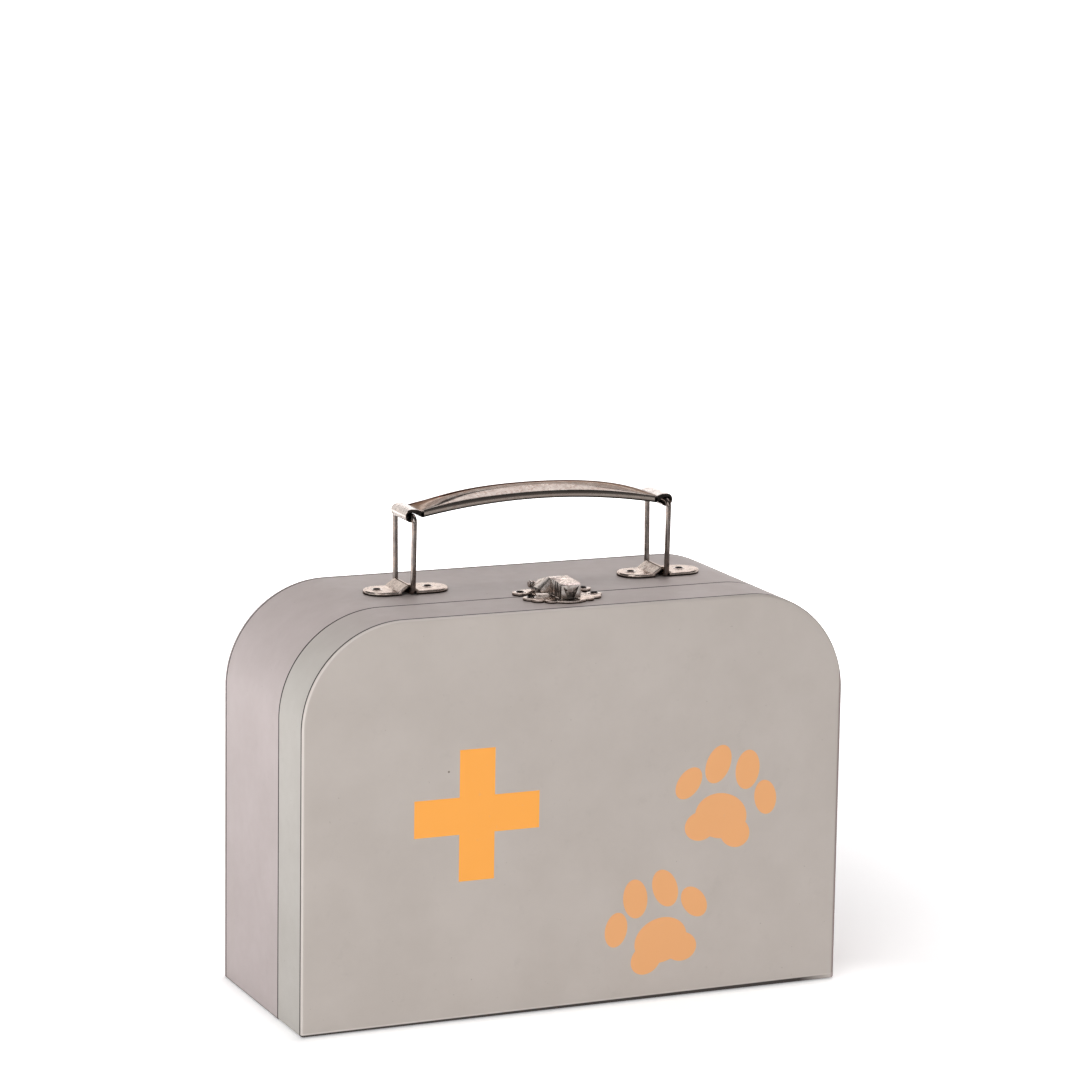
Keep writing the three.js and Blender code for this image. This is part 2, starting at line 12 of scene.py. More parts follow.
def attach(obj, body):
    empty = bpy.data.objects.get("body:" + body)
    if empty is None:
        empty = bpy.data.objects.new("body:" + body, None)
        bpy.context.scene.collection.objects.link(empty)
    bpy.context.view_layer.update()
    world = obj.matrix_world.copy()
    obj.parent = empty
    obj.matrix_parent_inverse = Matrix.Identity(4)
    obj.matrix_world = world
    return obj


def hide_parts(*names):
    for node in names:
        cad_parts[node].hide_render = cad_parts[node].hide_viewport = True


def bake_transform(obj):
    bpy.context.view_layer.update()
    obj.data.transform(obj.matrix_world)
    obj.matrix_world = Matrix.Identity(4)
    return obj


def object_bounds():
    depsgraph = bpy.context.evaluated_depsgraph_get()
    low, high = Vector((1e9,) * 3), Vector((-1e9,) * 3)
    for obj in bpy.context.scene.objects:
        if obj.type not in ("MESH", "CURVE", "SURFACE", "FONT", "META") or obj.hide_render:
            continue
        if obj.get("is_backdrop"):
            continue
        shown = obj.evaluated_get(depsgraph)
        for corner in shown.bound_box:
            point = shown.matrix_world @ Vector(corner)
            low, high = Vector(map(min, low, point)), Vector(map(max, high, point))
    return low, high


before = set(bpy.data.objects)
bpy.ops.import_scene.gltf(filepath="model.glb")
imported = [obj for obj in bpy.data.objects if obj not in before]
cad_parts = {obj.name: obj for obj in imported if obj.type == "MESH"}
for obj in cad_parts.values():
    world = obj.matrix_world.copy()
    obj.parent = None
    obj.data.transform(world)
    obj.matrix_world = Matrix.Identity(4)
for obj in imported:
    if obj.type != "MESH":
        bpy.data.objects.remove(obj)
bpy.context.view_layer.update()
mm = 0.001


# Lid front panel
# A sheet of grey board cut to the case's outline and wrapped in smooth paper that is turned over its edges.
# The cross and the paw prints are printed on the paper before it is glued down.

CASE_HALF = 125 * mm
CASE_TOP = 176 * mm
TOP_CORNER = 45 * mm
FOOT_CORNER = 0.9 * mm
BOARD = 2 * mm
BOARD_MARGIN = 0.9 * mm
FRONT_BEND = 1.1 * mm
BOARD_BEND = 0.45 * mm
LID_LIFT = 0.4 * mm
SEAM = -19.5 * mm
FRONT_FACE = -48.5 * mm
BACK_FACE = 48.5 * mm
LEAST_BEND = 0.05 * mm
TOP_STEPS = 36
FOOT_STEPS = 5
SHARP_ANGLE = math.radians(38)
ROUND = [(1 - math.sin(a), 1 - math.cos(a)) for a in (math.pi / 2 * i / 4 for i in range(5))]


def arc(centre, radius, start, stop, steps):
    """Points on an arc, from one angle to another in degrees."""
    points = []
    for i in range(steps + 1):
        angle = math.radians(start + (stop - start) * i / steps)
        points.append((centre[0] + radius * math.cos(angle), centre[1] + radius * math.sin(angle)))
    return points


def case_outline(inset, butt, lift=0.0):
    """The case's outline in X and Z, drawn in by the inset, from the middle of the foot round to it again."""
    side = CASE_HALF - inset
    foot_bend = max(FOOT_CORNER - inset, LEAST_BEND)
    top_bend = TOP_CORNER - inset
    foot = inset + lift + foot_bend
    top = CASE_TOP - TOP_CORNER
    shoulder = CASE_HALF - TOP_CORNER
    half = [(butt, inset + lift)]
    half += arc((side - foot_bend, foot), foot_bend, -90, 0, FOOT_STEPS)
    half += arc((shoulder, top), top_bend, 0, 90, TOP_STEPS)
    return half + [(-x, z) for x, z in reversed(half)]


def shade(mesh, materials):
    """Shades the skin smooth between its sharp edges."""
    mesh.shade_smooth()
    mesh.set_sharp_from_angle(angle=SHARP_ANGLE)
    for material in materials:
        mesh.materials.append(material)


def finish_mesh(mesh, materials):
    """Joins points that meet, turns the skin outwards and shades it."""
    work = bmesh.new()
    work.from_mesh(mesh)
    bmesh.ops.remove_doubles(work, verts=work.verts, dist=0.002 * mm)
    bmesh.ops.dissolve_degenerate(work, edges=work.edges, dist=0.0005 * mm)
    bmesh.ops.recalc_face_normals(work, faces=work.faces)
    work.to_mesh(mesh)
    work.free()
    shade(mesh, materials)


def new_piece(name, data):
    """An object in the scene, at the origin, with its place in its mesh."""
    piece = bpy.data.objects.new(name, data)
    bpy.context.scene.collection.objects.link(piece)
    return piece


def plain_mesh(name, points, edges, faces):
    mesh = bpy.data.meshes.new(name)
    mesh.from_pydata(points, edges, faces)
    return mesh


def loft(name, rings, materials, looped=False, pick=None):
    """A closed skin through rings of points. Pick gives the material's number from the ring and the place in it."""
    count = len(rings[0])
    points = [point for ring in rings for point in ring]
    faces, kinds = [], []
    for i in range(len(rings) if looped else len(rings) - 1):
        here, there = i * count, (i + 1) % len(rings) * count
        for j in range(count):
            k = (j + 1) % count
            faces.append((here + j, here + k, there + k, there + j))
            kinds.append(pick(i, j) if pick else 0)
    if not looped:
        faces.append(tuple(reversed(range(count))))
        faces.append(tuple(range(len(points) - count, len(points))))
        kinds += [0, 0]
    mesh = plain_mesh(name, points, [], faces)
    mesh.polygons.foreach_set("material_index", kinds)
    finish_mesh(mesh, materials)
    return new_piece(name, mesh)


def case_board(name, front, back, inset, front_bend, back_bend, materials, lift=0.0):
    """A flat board of the case's outline, with its front and back edges rounded."""
    profile = [(front_bend + BOARD_MARGIN, front)]
    profile += [(front_bend * s, front + front_bend * c) for s, c in ROUND]
    profile += [(back_bend * c, back - back_bend * s) for s, c in ROUND]
    profile += [(back_bend + BOARD_MARGIN, back)]
    rings = [[(x, y, z) for x, z in case_outline(inset + n, 0, lift)[1:-1]] for n, y in profile]
    return loft(name, rings, materials)


def node(tree, kind, inputs=None, **settings):
    """Adds a node. An input is a value or the socket that feeds it."""
    made = tree.nodes.new(kind)
    for key, value in settings.items():
        setattr(made, key, value)
    for key, value in (inputs or {}).items():
        if isinstance(value, bpy.types.NodeSocket):
            tree.links.new(value, made.inputs[key])
        else:
            made.inputs[key].default_value = value
    return made


def start_group(name, kind, inputs, output):
    """An empty group of nodes, what its named inputs bring, and the sockets at its end."""
    group = bpy.data.node_groups.new(name, kind)
    for label, socket in inputs.items():
        group.interface.new_socket(label, in_out="INPUT", socket_type="NodeSocket" + socket)
    group.interface.new_socket(output[0], in_out="OUTPUT", socket_type="NodeSocket" + output[1])
    return group, group.nodes.new("NodeGroupInput").outputs, group.nodes.new("NodeGroupOutput").inputs


def start_material(name, roughness, metallic=0.0, specular=0.5, tint=(1, 1, 1, 1)):
    """A material, and the place on the object that its patterns follow."""
    material = bpy.data.materials.new(name)
    material.use_nodes = True
    tree = material.node_tree
    constants = {"Roughness": roughness, "Metallic": metallic, "Specular IOR Level": specular, "Specular Tint": tint}
    for label, value in constants.items():
        tree.nodes["Principled BSDF"].inputs[label].default_value = value
    return material, node(tree, "ShaderNodeTexCoord").outputs["Object"]


def feed(label, value):
    """Leads a socket into the shader of its own tree."""
    tree = value.id_data
    tree.links.new(value, tree.nodes["Principled BSDF"].inputs[label])


def dress(tone, height, strength, depth):
    """Gives the surface its colour, and fine relief from a height."""
    feed("Base Color", tone)
    relief = {"Height": height, "Strength": strength, "Distance": depth}
    feed("Normal", node(height.id_data, "ShaderNodeBump", relief).outputs["Normal"])


def noise(place, scale, detail=2.0, rough=0.5):
    """Noise with features of about one over the scale in metres."""
    inputs = {"Vector": place, "Scale": scale, "Detail": detail, "Roughness": rough}
    return node(place.id_data, "ShaderNodeTexNoise", inputs).outputs["Fac"]


def spread(value, low, high, to_low=0, to_high=1):
    """Maps a value from one range to another, and stops at its ends."""
    inputs = {"Value": value, "From Min": low, "From Max": high, "To Min": to_low, "To Max": to_high}
    return node(value.id_data, "ShaderNodeMapRange", inputs).outputs["Result"]


def patches(place, scale, detail, rough, *limits):
    """Noise spread between limits into soft patches."""
    return spread(noise(place, scale, detail, rough), *limits)


def blend(share, first, second):
    """Mixes two colours, each a colour or a socket, by a share."""
    return node(share.id_data, "ShaderNodeMix", {0: share, 6: first, 7: second}, data_type="RGBA").outputs[2]


def reckon(operation, first, second=0.0):
    """One step of arithmetic on a socket and a number, or on two sockets."""
    return node(first.id_data, "ShaderNodeMath", {0: first, 1: second}, operation=operation).outputs[0]


def times(first, second):
    return reckon("MULTIPLY", first, second)


def most(first, second):
    return reckon("MAXIMUM", first, second)


def apart(first, second=0.0):
    """How far two numbers are from each other."""
    return reckon("ABSOLUTE", reckon("SUBTRACT", first, second))


def vector(operation, first, second=(0, 0, 0)):
    """One step of arithmetic on places or colours."""
    made = node(first.id_data, "ShaderNodeVectorMath", {0: first, 1: second}, operation=operation)
    return made.outputs["Value" if operation in ("LENGTH", "DISTANCE", "DOT_PRODUCT") else "Vector"]


def coordinates(place):
    return node(place.id_data, "ShaderNodeSeparateXYZ", {0: place}).outputs


PAPER = (0.480, 0.434, 0.398, 1)
PAPER_PALE = (0.512, 0.465, 0.429, 1)
PAPER_SCUFFED = (0.405, 0.367, 0.337, 1)
PAINTED_EDGE_HIGHLIGHT = (0.66, 0.605, 0.57, 1)
PAINTED_EDGE_SHADE = (0.24, 0.185, 0.18, 1)
FLECK = (0.16, 0.13, 0.11, 1)
PAINTED_SHADE = (0.035, 0.028, 0.025, 1)
JOINT_EDGE = 0.16


def covering_paper(name, side_light_cast=(1, 1, 1), top_light_cast=(1, 1, 1)):
    """Smooth warm grey satin paper with rare flecks, painted shade in the grooves where boards meet and a painted
    contact shadow along its foot. Its tint drifts a little on the left side and the top, a painted cast of the light
    there."""
    material, place = start_material(name, 0.6, specular=0.22)
    across, depth, height = coordinates(place)
    tone = blend(patches(place, 34, 4.0, 0.6, 0.34, 0.66), PAPER, PAPER_PALE)
    tone = blend(patches(place, 110, 5.0, 0.7, 0.60, 0.78, 0, 0.35), tone, PAPER_SCUFFED)
    # Painted light: the left side and the top take a tint of the light that falls on them.
    above = spread(height, CASE_TOP - TOP_CORNER, CASE_TOP - 4 * mm)
    beside = spread(across, 3 * mm - CASE_HALF, 40 * mm - CASE_HALF, 1, 0)
    light_cast = blend(above, (1, 1, 1, 1), top_light_cast + (1,))
    light_cast = blend(beside, light_cast, side_light_cast + (1,))
    tone = vector("MULTIPLY", tone, light_cast)
    tone = blend(patches(place, 900, 1.0, 0.4, 0.80, 0.85, 0, 0.5), tone, FLECK)
    # Painted contact shadow: the paper turns near-black within a millimetre of the floor.
    tone = blend(spread(height, 0.5 * mm, 1.0 * mm, 0.9, 0), tone, PAINTED_SHADE)
    # Painted shade in the grooves at the front and back panels' joints and in the seam between lid and base.
    for joint, reach in ((FRONT_FACE + BOARD, 0.65), (SEAM, 0.6), (BACK_FACE - BOARD, 0.5)):
        dark = spread(apart(depth, joint), (reach - JOINT_EDGE) * mm, reach * mm, 1, 0)
        tone = blend(dark, tone, PAINTED_SHADE)
    feed("Roughness", patches(place, 160, 3.0, 0.6, 0.3, 0.7, 0.50, 0.66))
    grain = noise(place, 2600, 3.0, 0.65)
    swell = noise(place, 210, 3.0, 0.5)
    dress(tone, reckon("ADD", times(grain, 0.3), swell), 0.35, 0.05 * mm)
    return material, place, tone


ORANGE_INK = (0.98, 0.420, 0.082, 1)
PEACH_INK = (0.82, 0.410, 0.178, 1)
SHADED_FOOT = (1.45 * mm, 2.3 * mm)
SPECK = (-59.6 * mm, FRONT_FACE, 109.6 * mm)
CROSS_CENTRE = (-46.5 * mm, 90 * mm)
CROSS_ARM = 28.6 * mm
CROSS_HALF_WIDTH = 8.1 * mm
INK_EDGE = 0.12 * mm
PAWS = [((38 * mm, 35 * mm), -14), ((70 * mm, 88 * mm), 14)]
PAW_SCALE = 25 * mm
RIGHT_PADS = ((0.34, -0.60, (0.30, 0.26), 20), (0.76, 0.10, (0.21, 0.31), -24), (0.29, 0.52, (0.23, 0.35), -8))
PADS = [((0.0, -0.36), (0.50, 0.40), 0)]
PADS += [((side * x, z), size, side * turn) for x, z, size, turn in RIGHT_PADS for side in (-1, 1)]


def box_mask(x, z, half_x, half_z):
    """One inside a rectangle about zero, with a soft edge of ink."""
    reach = most(reckon("SUBTRACT", apart(x), half_x), reckon("SUBTRACT", apart(z), half_z))
    return spread(reach, -INK_EDGE / 2, INK_EDGE / 2, 1, 0)


def own_place(place, centre, turn, scale):
    """The place as a print sees it from its own centre, turn and size."""
    inputs = {"Vector": place, "Location": (centre[0], 0, centre[1]), "Rotation": (0, math.radians(turn), 0),
              "Scale": scale}
    return node(place.id_data, "ShaderNodeMapping", inputs, vector_type="TEXTURE").outputs["Vector"]


def paw_group():
    """A paw print of ellipses about zero, in units of half its width, as a group: a place in, a mask out."""
    group, entry, leave = start_group("paw print", "ShaderNodeTree", {"Place": "Vector"}, ("Mask", "Float"))
    mask = 0.0
    for centre, (wide, high), turn in PADS:
        local = own_place(entry["Place"], centre, turn, (wide, 1, high))
        far = vector("LENGTH", vector("MULTIPLY", local, (1, 0, 1)))
        mask = most(spread(far, 0.99, 1.01, 1, 0), mask)
    group.links.new(mask, leave["Mask"])
    return group


def printed_paper(name):
    """The covering paper with its two inks, which show only on the front face, and painted highlight and shade on its
    edges.
    """
    material, place, tone = covering_paper(name)
    x, y, z = coordinates(vector("SUBTRACT", place, (CROSS_CENTRE[0], 0, CROSS_CENTRE[1])))
    upright = box_mask(x, z, CROSS_HALF_WIDTH, CROSS_ARM)
    level = box_mask(x, z, CROSS_ARM, CROSS_HALF_WIDTH)
    group = paw_group()
    paws = [node(place.id_data, "ShaderNodeGroup", {"Place": own_place(place, centre, turn, (PAW_SCALE,) * 3)},
                 node_tree=group).outputs["Mask"] for centre, turn in PAWS]
    face = spread(y, FRONT_FACE + 0.1 * mm, FRONT_FACE + 0.2 * mm, 1, 0)
    wear = patches(place, 420, 4.0, 0.6, 0.66, 0.8, 1, 0.86)
    for masks, ink in (((upright, level), ORANGE_INK), (paws, PEACH_INK)):
        tone = blend(times(times(most(*masks), face), wear), tone, ink)
    from_speck = vector("DISTANCE", place, SPECK)
    tone = blend(spread(from_speck, 0.35 * mm, 0.6 * mm, 0.9, 0), tone, FLECK)
    across, depth, height = coordinates(place)
    # Painted highlight on the front bend, full over the lit left half and fading out to the right.
    behind_face = reckon("SUBTRACT", depth, FRONT_FACE)
    edge_highlight = times(spread(behind_face, 0.05 * mm, 0.25 * mm, 0, 0.85), spread(behind_face, 1.3 * mm, 1.45 * mm, 1, 0))
    edge_highlight = times(edge_highlight, spread(across, 0, 80 * mm, 1, 0))
    tone = blend(edge_highlight, tone, PAINTED_EDGE_HIGHLIGHT)
    # Painted shade on the right edge's bend, which faces away from the light.
    edge_shade = spread(across, CASE_HALF - 1.7 * mm, CASE_HALF - 1.1 * mm, 0, 0.8)
    tone = blend(edge_shade, tone, PAINTED_EDGE_SHADE)
    # Painted contact shadow: a near-black line along the foot, higher towards the right and stopping short of the
    # right corner, with a painted highlight just above it, paler on the left.
    over_line = reckon("SUBTRACT", height, spread(across, -CASE_HALF, 100 * mm, *SHADED_FOOT))
    foot_highlight = times(spread(over_line, 0.5 * mm, 0.8 * mm, 1, 0), spread(across, -CASE_HALF, 110 * mm, 0.75, 0.2))
    tone = blend(foot_highlight, tone, PAINTED_EDGE_HIGHLIGHT)
    low = times(spread(over_line, -0.15 * mm, 0.15 * mm, 0.97, 0), spread(across, 108 * mm, 124 * mm, 1, 0))
    feed("Base Color", blend(low, tone, PAINTED_SHADE))
    return material


printed = printed_paper("printed paper")
front_panel = case_board("front_board", FRONT_FACE, FRONT_FACE + BOARD, 0, FRONT_BEND, BOARD_BEND, [printed],
                         LID_LIFT)
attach(front_panel, "lid")
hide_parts("lid_front_panel")


# Base back panel
# The same board as the front one, wrapped in plain paper. It closes the back of the deeper tray.

paper = covering_paper("base paper", (1.0, 0.959, 1.019), (1.0, 0.968, 0.995))[0]
back_panel = case_board("back_board", BACK_FACE - BOARD, BACK_FACE, 0, BOARD_BEND, BOARD_BEND, [paper])
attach(back_panel, "base")
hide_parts("base_back_panel")


# Rims
# Strips of the same board bent round the outline, their ends butted under the middle of the case. The paper is
# drawn over both edges; inside, the strips are faced with off-white paper. The lid's foot clears the floor by the
# hinge tape under it, and a step under the base's rim takes the tape.

SEAM_HALF_GAP = 0.15 * mm
BUTT_HALF_GAP = 0.15 * mm
RIM_MARGIN = 0.7 * mm
RIM_BENDS = ((0.45, 0.4, 0.15, 0.05), (0.4, 0.45, 0.05, 0.15))
TAPE_HALF = 123 * mm
TAPE_LEAF = 14 * mm
TAPE_THICKNESS = 0.4 * mm
TAPE_ROOM = 0.1 * mm
TRAYS = (("lid", FRONT_FACE + BOARD, SEAM - SEAM_HALF_GAP, LID_LIFT),
         ("base", SEAM + SEAM_HALF_GAP, BACK_FACE - BOARD, 0))
INNER_LOOP = range(10, 12)


def rounded_section(inner, outer, front, back, bends):
    """The loop of a board's cut end as insets and depths, with a bend at each of its four corners."""
    front_outer, back_outer, back_inner, front_inner = bends
    loop = [(outer, front + front_outer + RIM_MARGIN)]
    loop += [(outer + front_outer * c, front + front_outer * s) for s, c in ROUND]
    loop += [(inner - front_inner * s, front + front_inner * c) for s, c in ROUND]
    loop += [(inner, front + front_inner + RIM_MARGIN), (inner, back - back_inner - RIM_MARGIN)]
    loop += [(inner - back_inner * c, back - back_inner * s) for s, c in ROUND]
    loop += [(outer + back_outer * s, back - back_outer * c) for s, c in ROUND]
    return loop + [(outer, back - back_outer - RIM_MARGIN)]


def bent_strip(name, section, butt, materials, pick=None, keep=None, lift=0.0):
    """A strip bent round the outline. Keep takes a part of the path, as a function from its points to those kept."""
    paths = []
    for inset, depth in section:
        path = case_outline(inset, butt, lift)
        path = keep(path, inset) if keep else path
        paths.append([(x, depth, z) for x, z in path])
    return loft(name, list(zip(*paths)), materials, pick=pick)


def mesh_of(work, name):
    """A new mesh of the work in hand, which is then cleared away."""
    mesh = bpy.data.meshes.new(name)
    work.to_mesh(mesh)
    work.free()
    return mesh


def finished_piece(name, work, materials):
    mesh = mesh_of(work, name)
    finish_mesh(mesh, materials)
    return new_piece(name, mesh)


def slab(name, low, high, bend, materials):
    """A flat sheet between two corners, its edges rounded."""
    work = bmesh.new()
    bmesh.ops.create_cube(work, size=1)
    low, high = Vector(low), Vector(high)
    size, middle = high - low, (high + low) / 2
    for vert in work.verts:
        vert.co = Vector(vert.co[i] * size[i] + middle[i] for i in range(3))
    bmesh.ops.bevel(work, geom=work.edges[:], offset=bend, segments=3, affect="EDGES", profile=0.5)
    return finished_piece(name, work, materials)


def apply_modifier(piece, modifier):
    """Makes the modifier's result the piece's own mesh."""
    made = bpy.data.meshes.new_from_object(piece.evaluated_get(bpy.context.evaluated_depsgraph_get()))
    piece.modifiers.remove(modifier)
    piece.data = made
    return made


def cut_away(piece, cutter):
    """Cuts one closed mesh out of another and removes the cutter."""
    modifier = piece.modifiers.new("cut", "BOOLEAN")
    modifier.operation = "DIFFERENCE"
    modifier.solver = "EXACT"
    modifier.object = cutter
    apply_modifier(piece, modifier).set_sharp_from_angle(angle=SHARP_ANGLE)
    bpy.data.objects.remove(cutter)


def inner_paper(name):
    """Matt off-white paper with a soft tooth."""
    material, place = start_material(name, 0.85, specular=0.25)
    clouds = patches(place, 60, 4.0, 0.6, 0.3, 0.7)
    tone = blend(clouds, (0.78, 0.745, 0.675, 1), (0.83, 0.80, 0.735, 1))
    fibres = patches(place, 700, 2.0, 0.5, 0.7, 0.8, 0, 0.35)
    tone = blend(fibres, tone, (0.55, 0.50, 0.42, 1))
    dress(tone, noise(place, 1700, 4.0, 0.7), 0.4, 0.06 * mm)
    return material


lining = inner_paper("lining paper")
lid_paper = covering_paper("lid paper", (0.985, 1.028, 1.033), (1.0, 0.970, 0.997))[0]
for (body, front, back, lift), bends, cover in zip(TRAYS, RIM_BENDS, (lid_paper, paper)):
    section = rounded_section(BOARD, 0, front, back, [bend * mm for bend in bends])
    rim = bent_strip(body + "_bent_rim", section, BUTT_HALF_GAP, [cover, lining],
                     lambda i, j: 1 if j in INNER_LOOP else 0, lift=lift)
    if body == "base":
        half = TAPE_HALF + TAPE_ROOM
        low = (-half, front - BOARD, -BOARD)
        high = (half, front + TAPE_LEAF + TAPE_ROOM, TAPE_THICKNESS)
        cut_away(rim, slab("step", low, high, 0.02 * mm, []))
    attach(rim, body)
    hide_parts(body + "_rim")


# Joint strips
# Short pieces of raw grey board glued inside each tray over the butted ends of its rim.

STRIP_HALF = 14 * mm
STRIP_THICKNESS = 0.8 * mm
STRIP_END_GAP = 2 * mm
STRIP_BEND = 0.12 * mm
BOARD_TONES = ((0.25, 0.235, 0.21, 1), (0.36, 0.34, 0.31, 1))


def mottled(name, constants, stain, tones, grain, strength, depth):
    """Two tones in patches and a fine relief. Stain and grain say what the noise of each is like."""
    material, place = start_material(name, *constants)
    dress(blend(patches(place, *stain), *tones), noise(place, *grain), strength, depth)
    return material


grey_board = mottled("raw grey board", (0.92, 0.0, 0.2), (320, 5.0, 0.75, 0.3, 0.7), BOARD_TONES, (1300, 5.0, 0.7),
                     0.6, 0.1 * mm)
for body, front, back, lift in TRAYS:
    low = (-STRIP_HALF, front + STRIP_END_GAP, BOARD + lift)
    high = (STRIP_HALF, back - STRIP_END_GAP, BOARD + lift + STRIP_THICKNESS)
    strip = slab(body + "_joint_board", low, high, STRIP_BEND, [grey_board])
    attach(strip, body)
    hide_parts(body + "_rim_joint_strip")


# Collars
# Two strips of thin board glued inside the base's mouth. They stand out of it by a few millimetres, so that the
# closed lid is held square. They stop short of the foot and leave the top free for the catch's rivets.

COLLAR_INSET = 2.4 * mm
COLLAR_THICKNESS = 1.2 * mm
COLLAR_FRONT = -25.5 * mm
COLLAR_BACK = -4.5 * mm
COLLAR_FOOT = 20 * mm
COLLAR_RELIEF = 22 * mm
COLLAR_BENDS = (0.3 * mm, 0.2 * mm, 0.2 * mm, 0.3 * mm)


def one_side(side):
    """Keeps the path on one side of the case, from the collar's foot to its end at the top."""
    def keep(path, inset):
        arc_points = path[2 + FOOT_STEPS:len(path) // 2]
        kept = [(CASE_HALF - inset, COLLAR_FOOT)] + arc_points + [(COLLAR_RELIEF, CASE_TOP - inset)]
        return [(side * x, z) for x, z in kept]
    return keep


section = rounded_section(COLLAR_INSET + COLLAR_THICKNESS, COLLAR_INSET, COLLAR_FRONT, COLLAR_BACK, COLLAR_BENDS)
for word, side in (("left", -1), ("right", 1)):
    collar = bent_strip(word + "_collar", section, 0, [lining], keep=one_side(side))
    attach(collar, "base")
    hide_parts("base_collar_" + word)


# Lining sheets
# Off-white paper glued to the inside of the front and back panels, cut a little smaller than the tray.

LINING_INSET = 2.5 * mm
LINING_THICKNESS = 0.4 * mm
LINING_BEND = 0.1 * mm
for body, front in (("lid", FRONT_FACE + BOARD), ("base", BACK_FACE - BOARD - LINING_THICKNESS)):
    sheet = case_board(body + "_lining", front, front + LINING_THICKNESS, LINING_INSET, LINING_BEND, LINING_BEND,
                       [lining])
    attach(sheet, body)
    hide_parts(body + "_lining_sheet")


# Hinge tape
# One woven grey tape glued under both trays, in the steps of their rims. On the case it bends at the seam when the
# lid opens; here it is one fixed piece.

TAPE_BEND = 0.8 * mm
TAPE_EDGE = 0.12 * mm


def woven_tape(name):
    """Fine plain weave in grey, with the threads along and across the seam."""
    material, place = start_material(name, 0.8, specular=0.2)
    threads = {"Vector": place, "Scale": 260, "Distortion": 0.3}
    waves = [node(place.id_data, "ShaderNodeTexWave", threads, wave_type="BANDS", bands_direction=way)
             for way in "XY"]
    weave = times(*[wave.outputs["Fac"] for wave in waves])
    dress(blend(weave, (0.27, 0.255, 0.235, 1), (0.40, 0.38, 0.35, 1)), weave, 0.6, 0.12 * mm)
    return material


depths = [-SEAM_HALF_GAP - TAPE_LEAF + TAPE_EDGE * i for i in range(3)]
depths += [-12 * mm, -9 * mm, -6 * mm, -3 * mm, -1.6 * mm]
depths += [TAPE_BEND * i / 8 for i in range(-9, 1)]
depths += [-depth for depth in reversed(depths[:-1])]
rings = []
for depth in depths:
    y = SEAM + depth
    drop = TAPE_EDGE if abs(depth) > TAPE_LEAF + SEAM_HALF_GAP - TAPE_EDGE / 2 else 0
    low, high = drop, TAPE_THICKNESS - drop
    right = [(TAPE_HALF - TAPE_EDGE, y, low), (TAPE_HALF, y, low + TAPE_EDGE), (TAPE_HALF, y, high - TAPE_EDGE),
             (TAPE_HALF - TAPE_EDGE, y, high)]
    left = [(-x, y, z) for x, y, z in right]
    rings.append(left[:1] + right + left[:0:-1])
tape = loft("hinge_tape", rings, [woven_tape("woven tape")])
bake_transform(tape)
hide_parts("base_hinge_tape", "lid_hinge_tape")


# Handle plates
# Pressed from steel sheet with a turned-down edge, and nickel-plated. A tent across the plate makes the tunnel
# in which the foot of the wire link turns. Two tubular rivets hold each plate to the top of the base.

HANDLE_X = 1.3 * mm
HANDLE_Y = 7.3 * mm
LINK_HALF_SPACING = 59.6 * mm
RIDGE_OFFSET = -0.9 * mm
PLATE_LEAD = 1.5 * mm
PLATE_HALF_LENGTH = 19 * mm
PLATE_RADIUS = 8.3 * mm
PLATE_HEIGHT = 1.7 * mm
PLATE_SHEET = 0.8 * mm
PLATE_BEND = 0.65 * mm
TENT_HALF = 4.6 * mm
TENT_HEIGHT = 4.8 * mm
TENT_EDGE = 0.14 * mm
TENT_SOFT = 0.35 * mm
TUNNEL_HALF = 3.5 * mm
TENT_RISE = TENT_HEIGHT - PLATE_HEIGHT
TENT_SLOPE = TENT_RISE / TENT_HALF
TUNNEL_TOP = TENT_HEIGHT - PLATE_SHEET * math.hypot(1, TENT_SLOPE)
SLIVER = 0.03 * mm

PALE_NICKEL = ((0.38, 0.322, 0.288, 1), (0.51, 0.443, 0.402, 1))
BRIGHT_NICKEL = ((0.44, 0.388, 0.362, 1), (0.57, 0.522, 0.492, 1))
SHADED_NICKEL = ((0.05, 0.040, 0.035, 1), (0.11, 0.092, 0.081, 1))
SMOKY_NICKEL = ((0.285, 0.258, 0.232, 1), (0.38, 0.353, 0.318, 1))
WIRE_NICKEL = ((0.13, 0.109, 0.100, 1), (0.20, 0.176, 0.163, 1))
INSIDE_SHADE_TONES = ((0.018, 0.015, 0.013, 1), (0.045, 0.038, 0.034, 1))
TARNISH = (0.26, 0.205, 0.175, 1)
SHADOWED = (0.030, 0.024, 0.021, 1)
WARM_EDGE = (0.83, 0.765, 0.725, 1)
DARK_EDGE = (0.30, 0.24, 0.22, 1)
FOOT_SHADOW_EDGE = 0.08 * mm


def nickel(name, grain_scale, relief, tones=PALE_NICKEL, roughness=(0.13, 0.27), edge=(1, 1, 1, 1), foot=None):
    """Nickel plate: an uneven warm polish with soft dents and tarnish, and painted shadow below the foot's height.
    The edge is its colour at a glancing angle."""
    material, place = start_material(name, 0.2, 1.0, tint=edge)
    tone = blend(patches(place, 240, 3.0, 0.6, 0.35, 0.65), *tones)
    grime = patches(place, 620, 4.0, 0.7, 0.50, 0.64, 0, 0.85)
    tone = blend(grime, tone, TARNISH)
    if foot:
        # Painted shadow: near-black below the foot's height.
        foot_shadow = spread(coordinates(place)["Z"], foot - FOOT_SHADOW_EDGE, foot + FOOT_SHADOW_EDGE, 1, 0)
        tone = blend(foot_shadow, tone, SHADOWED)
    polish = patches(place, 520, 4.0, 0.65, 0.3, 0.7, *roughness)
    feed("Roughness", reckon("ADD", polish, times(grime, 0.09)))
    dress(tone, noise(place, grain_scale, 2.0, 0.5), relief, 0.12 * mm)
    return material


def tent_height(x):
    """How high the plate's top is over its foot at a distance from the ridge, the crease and ridge softened."""
    rise = TENT_RISE * (1 - math.sqrt(x * x + TENT_SOFT * TENT_SOFT) / TENT_HALF) + TENT_SOFT * 0.5 * TENT_SLOPE
    return PLATE_HEIGHT + max(0.0, rise)


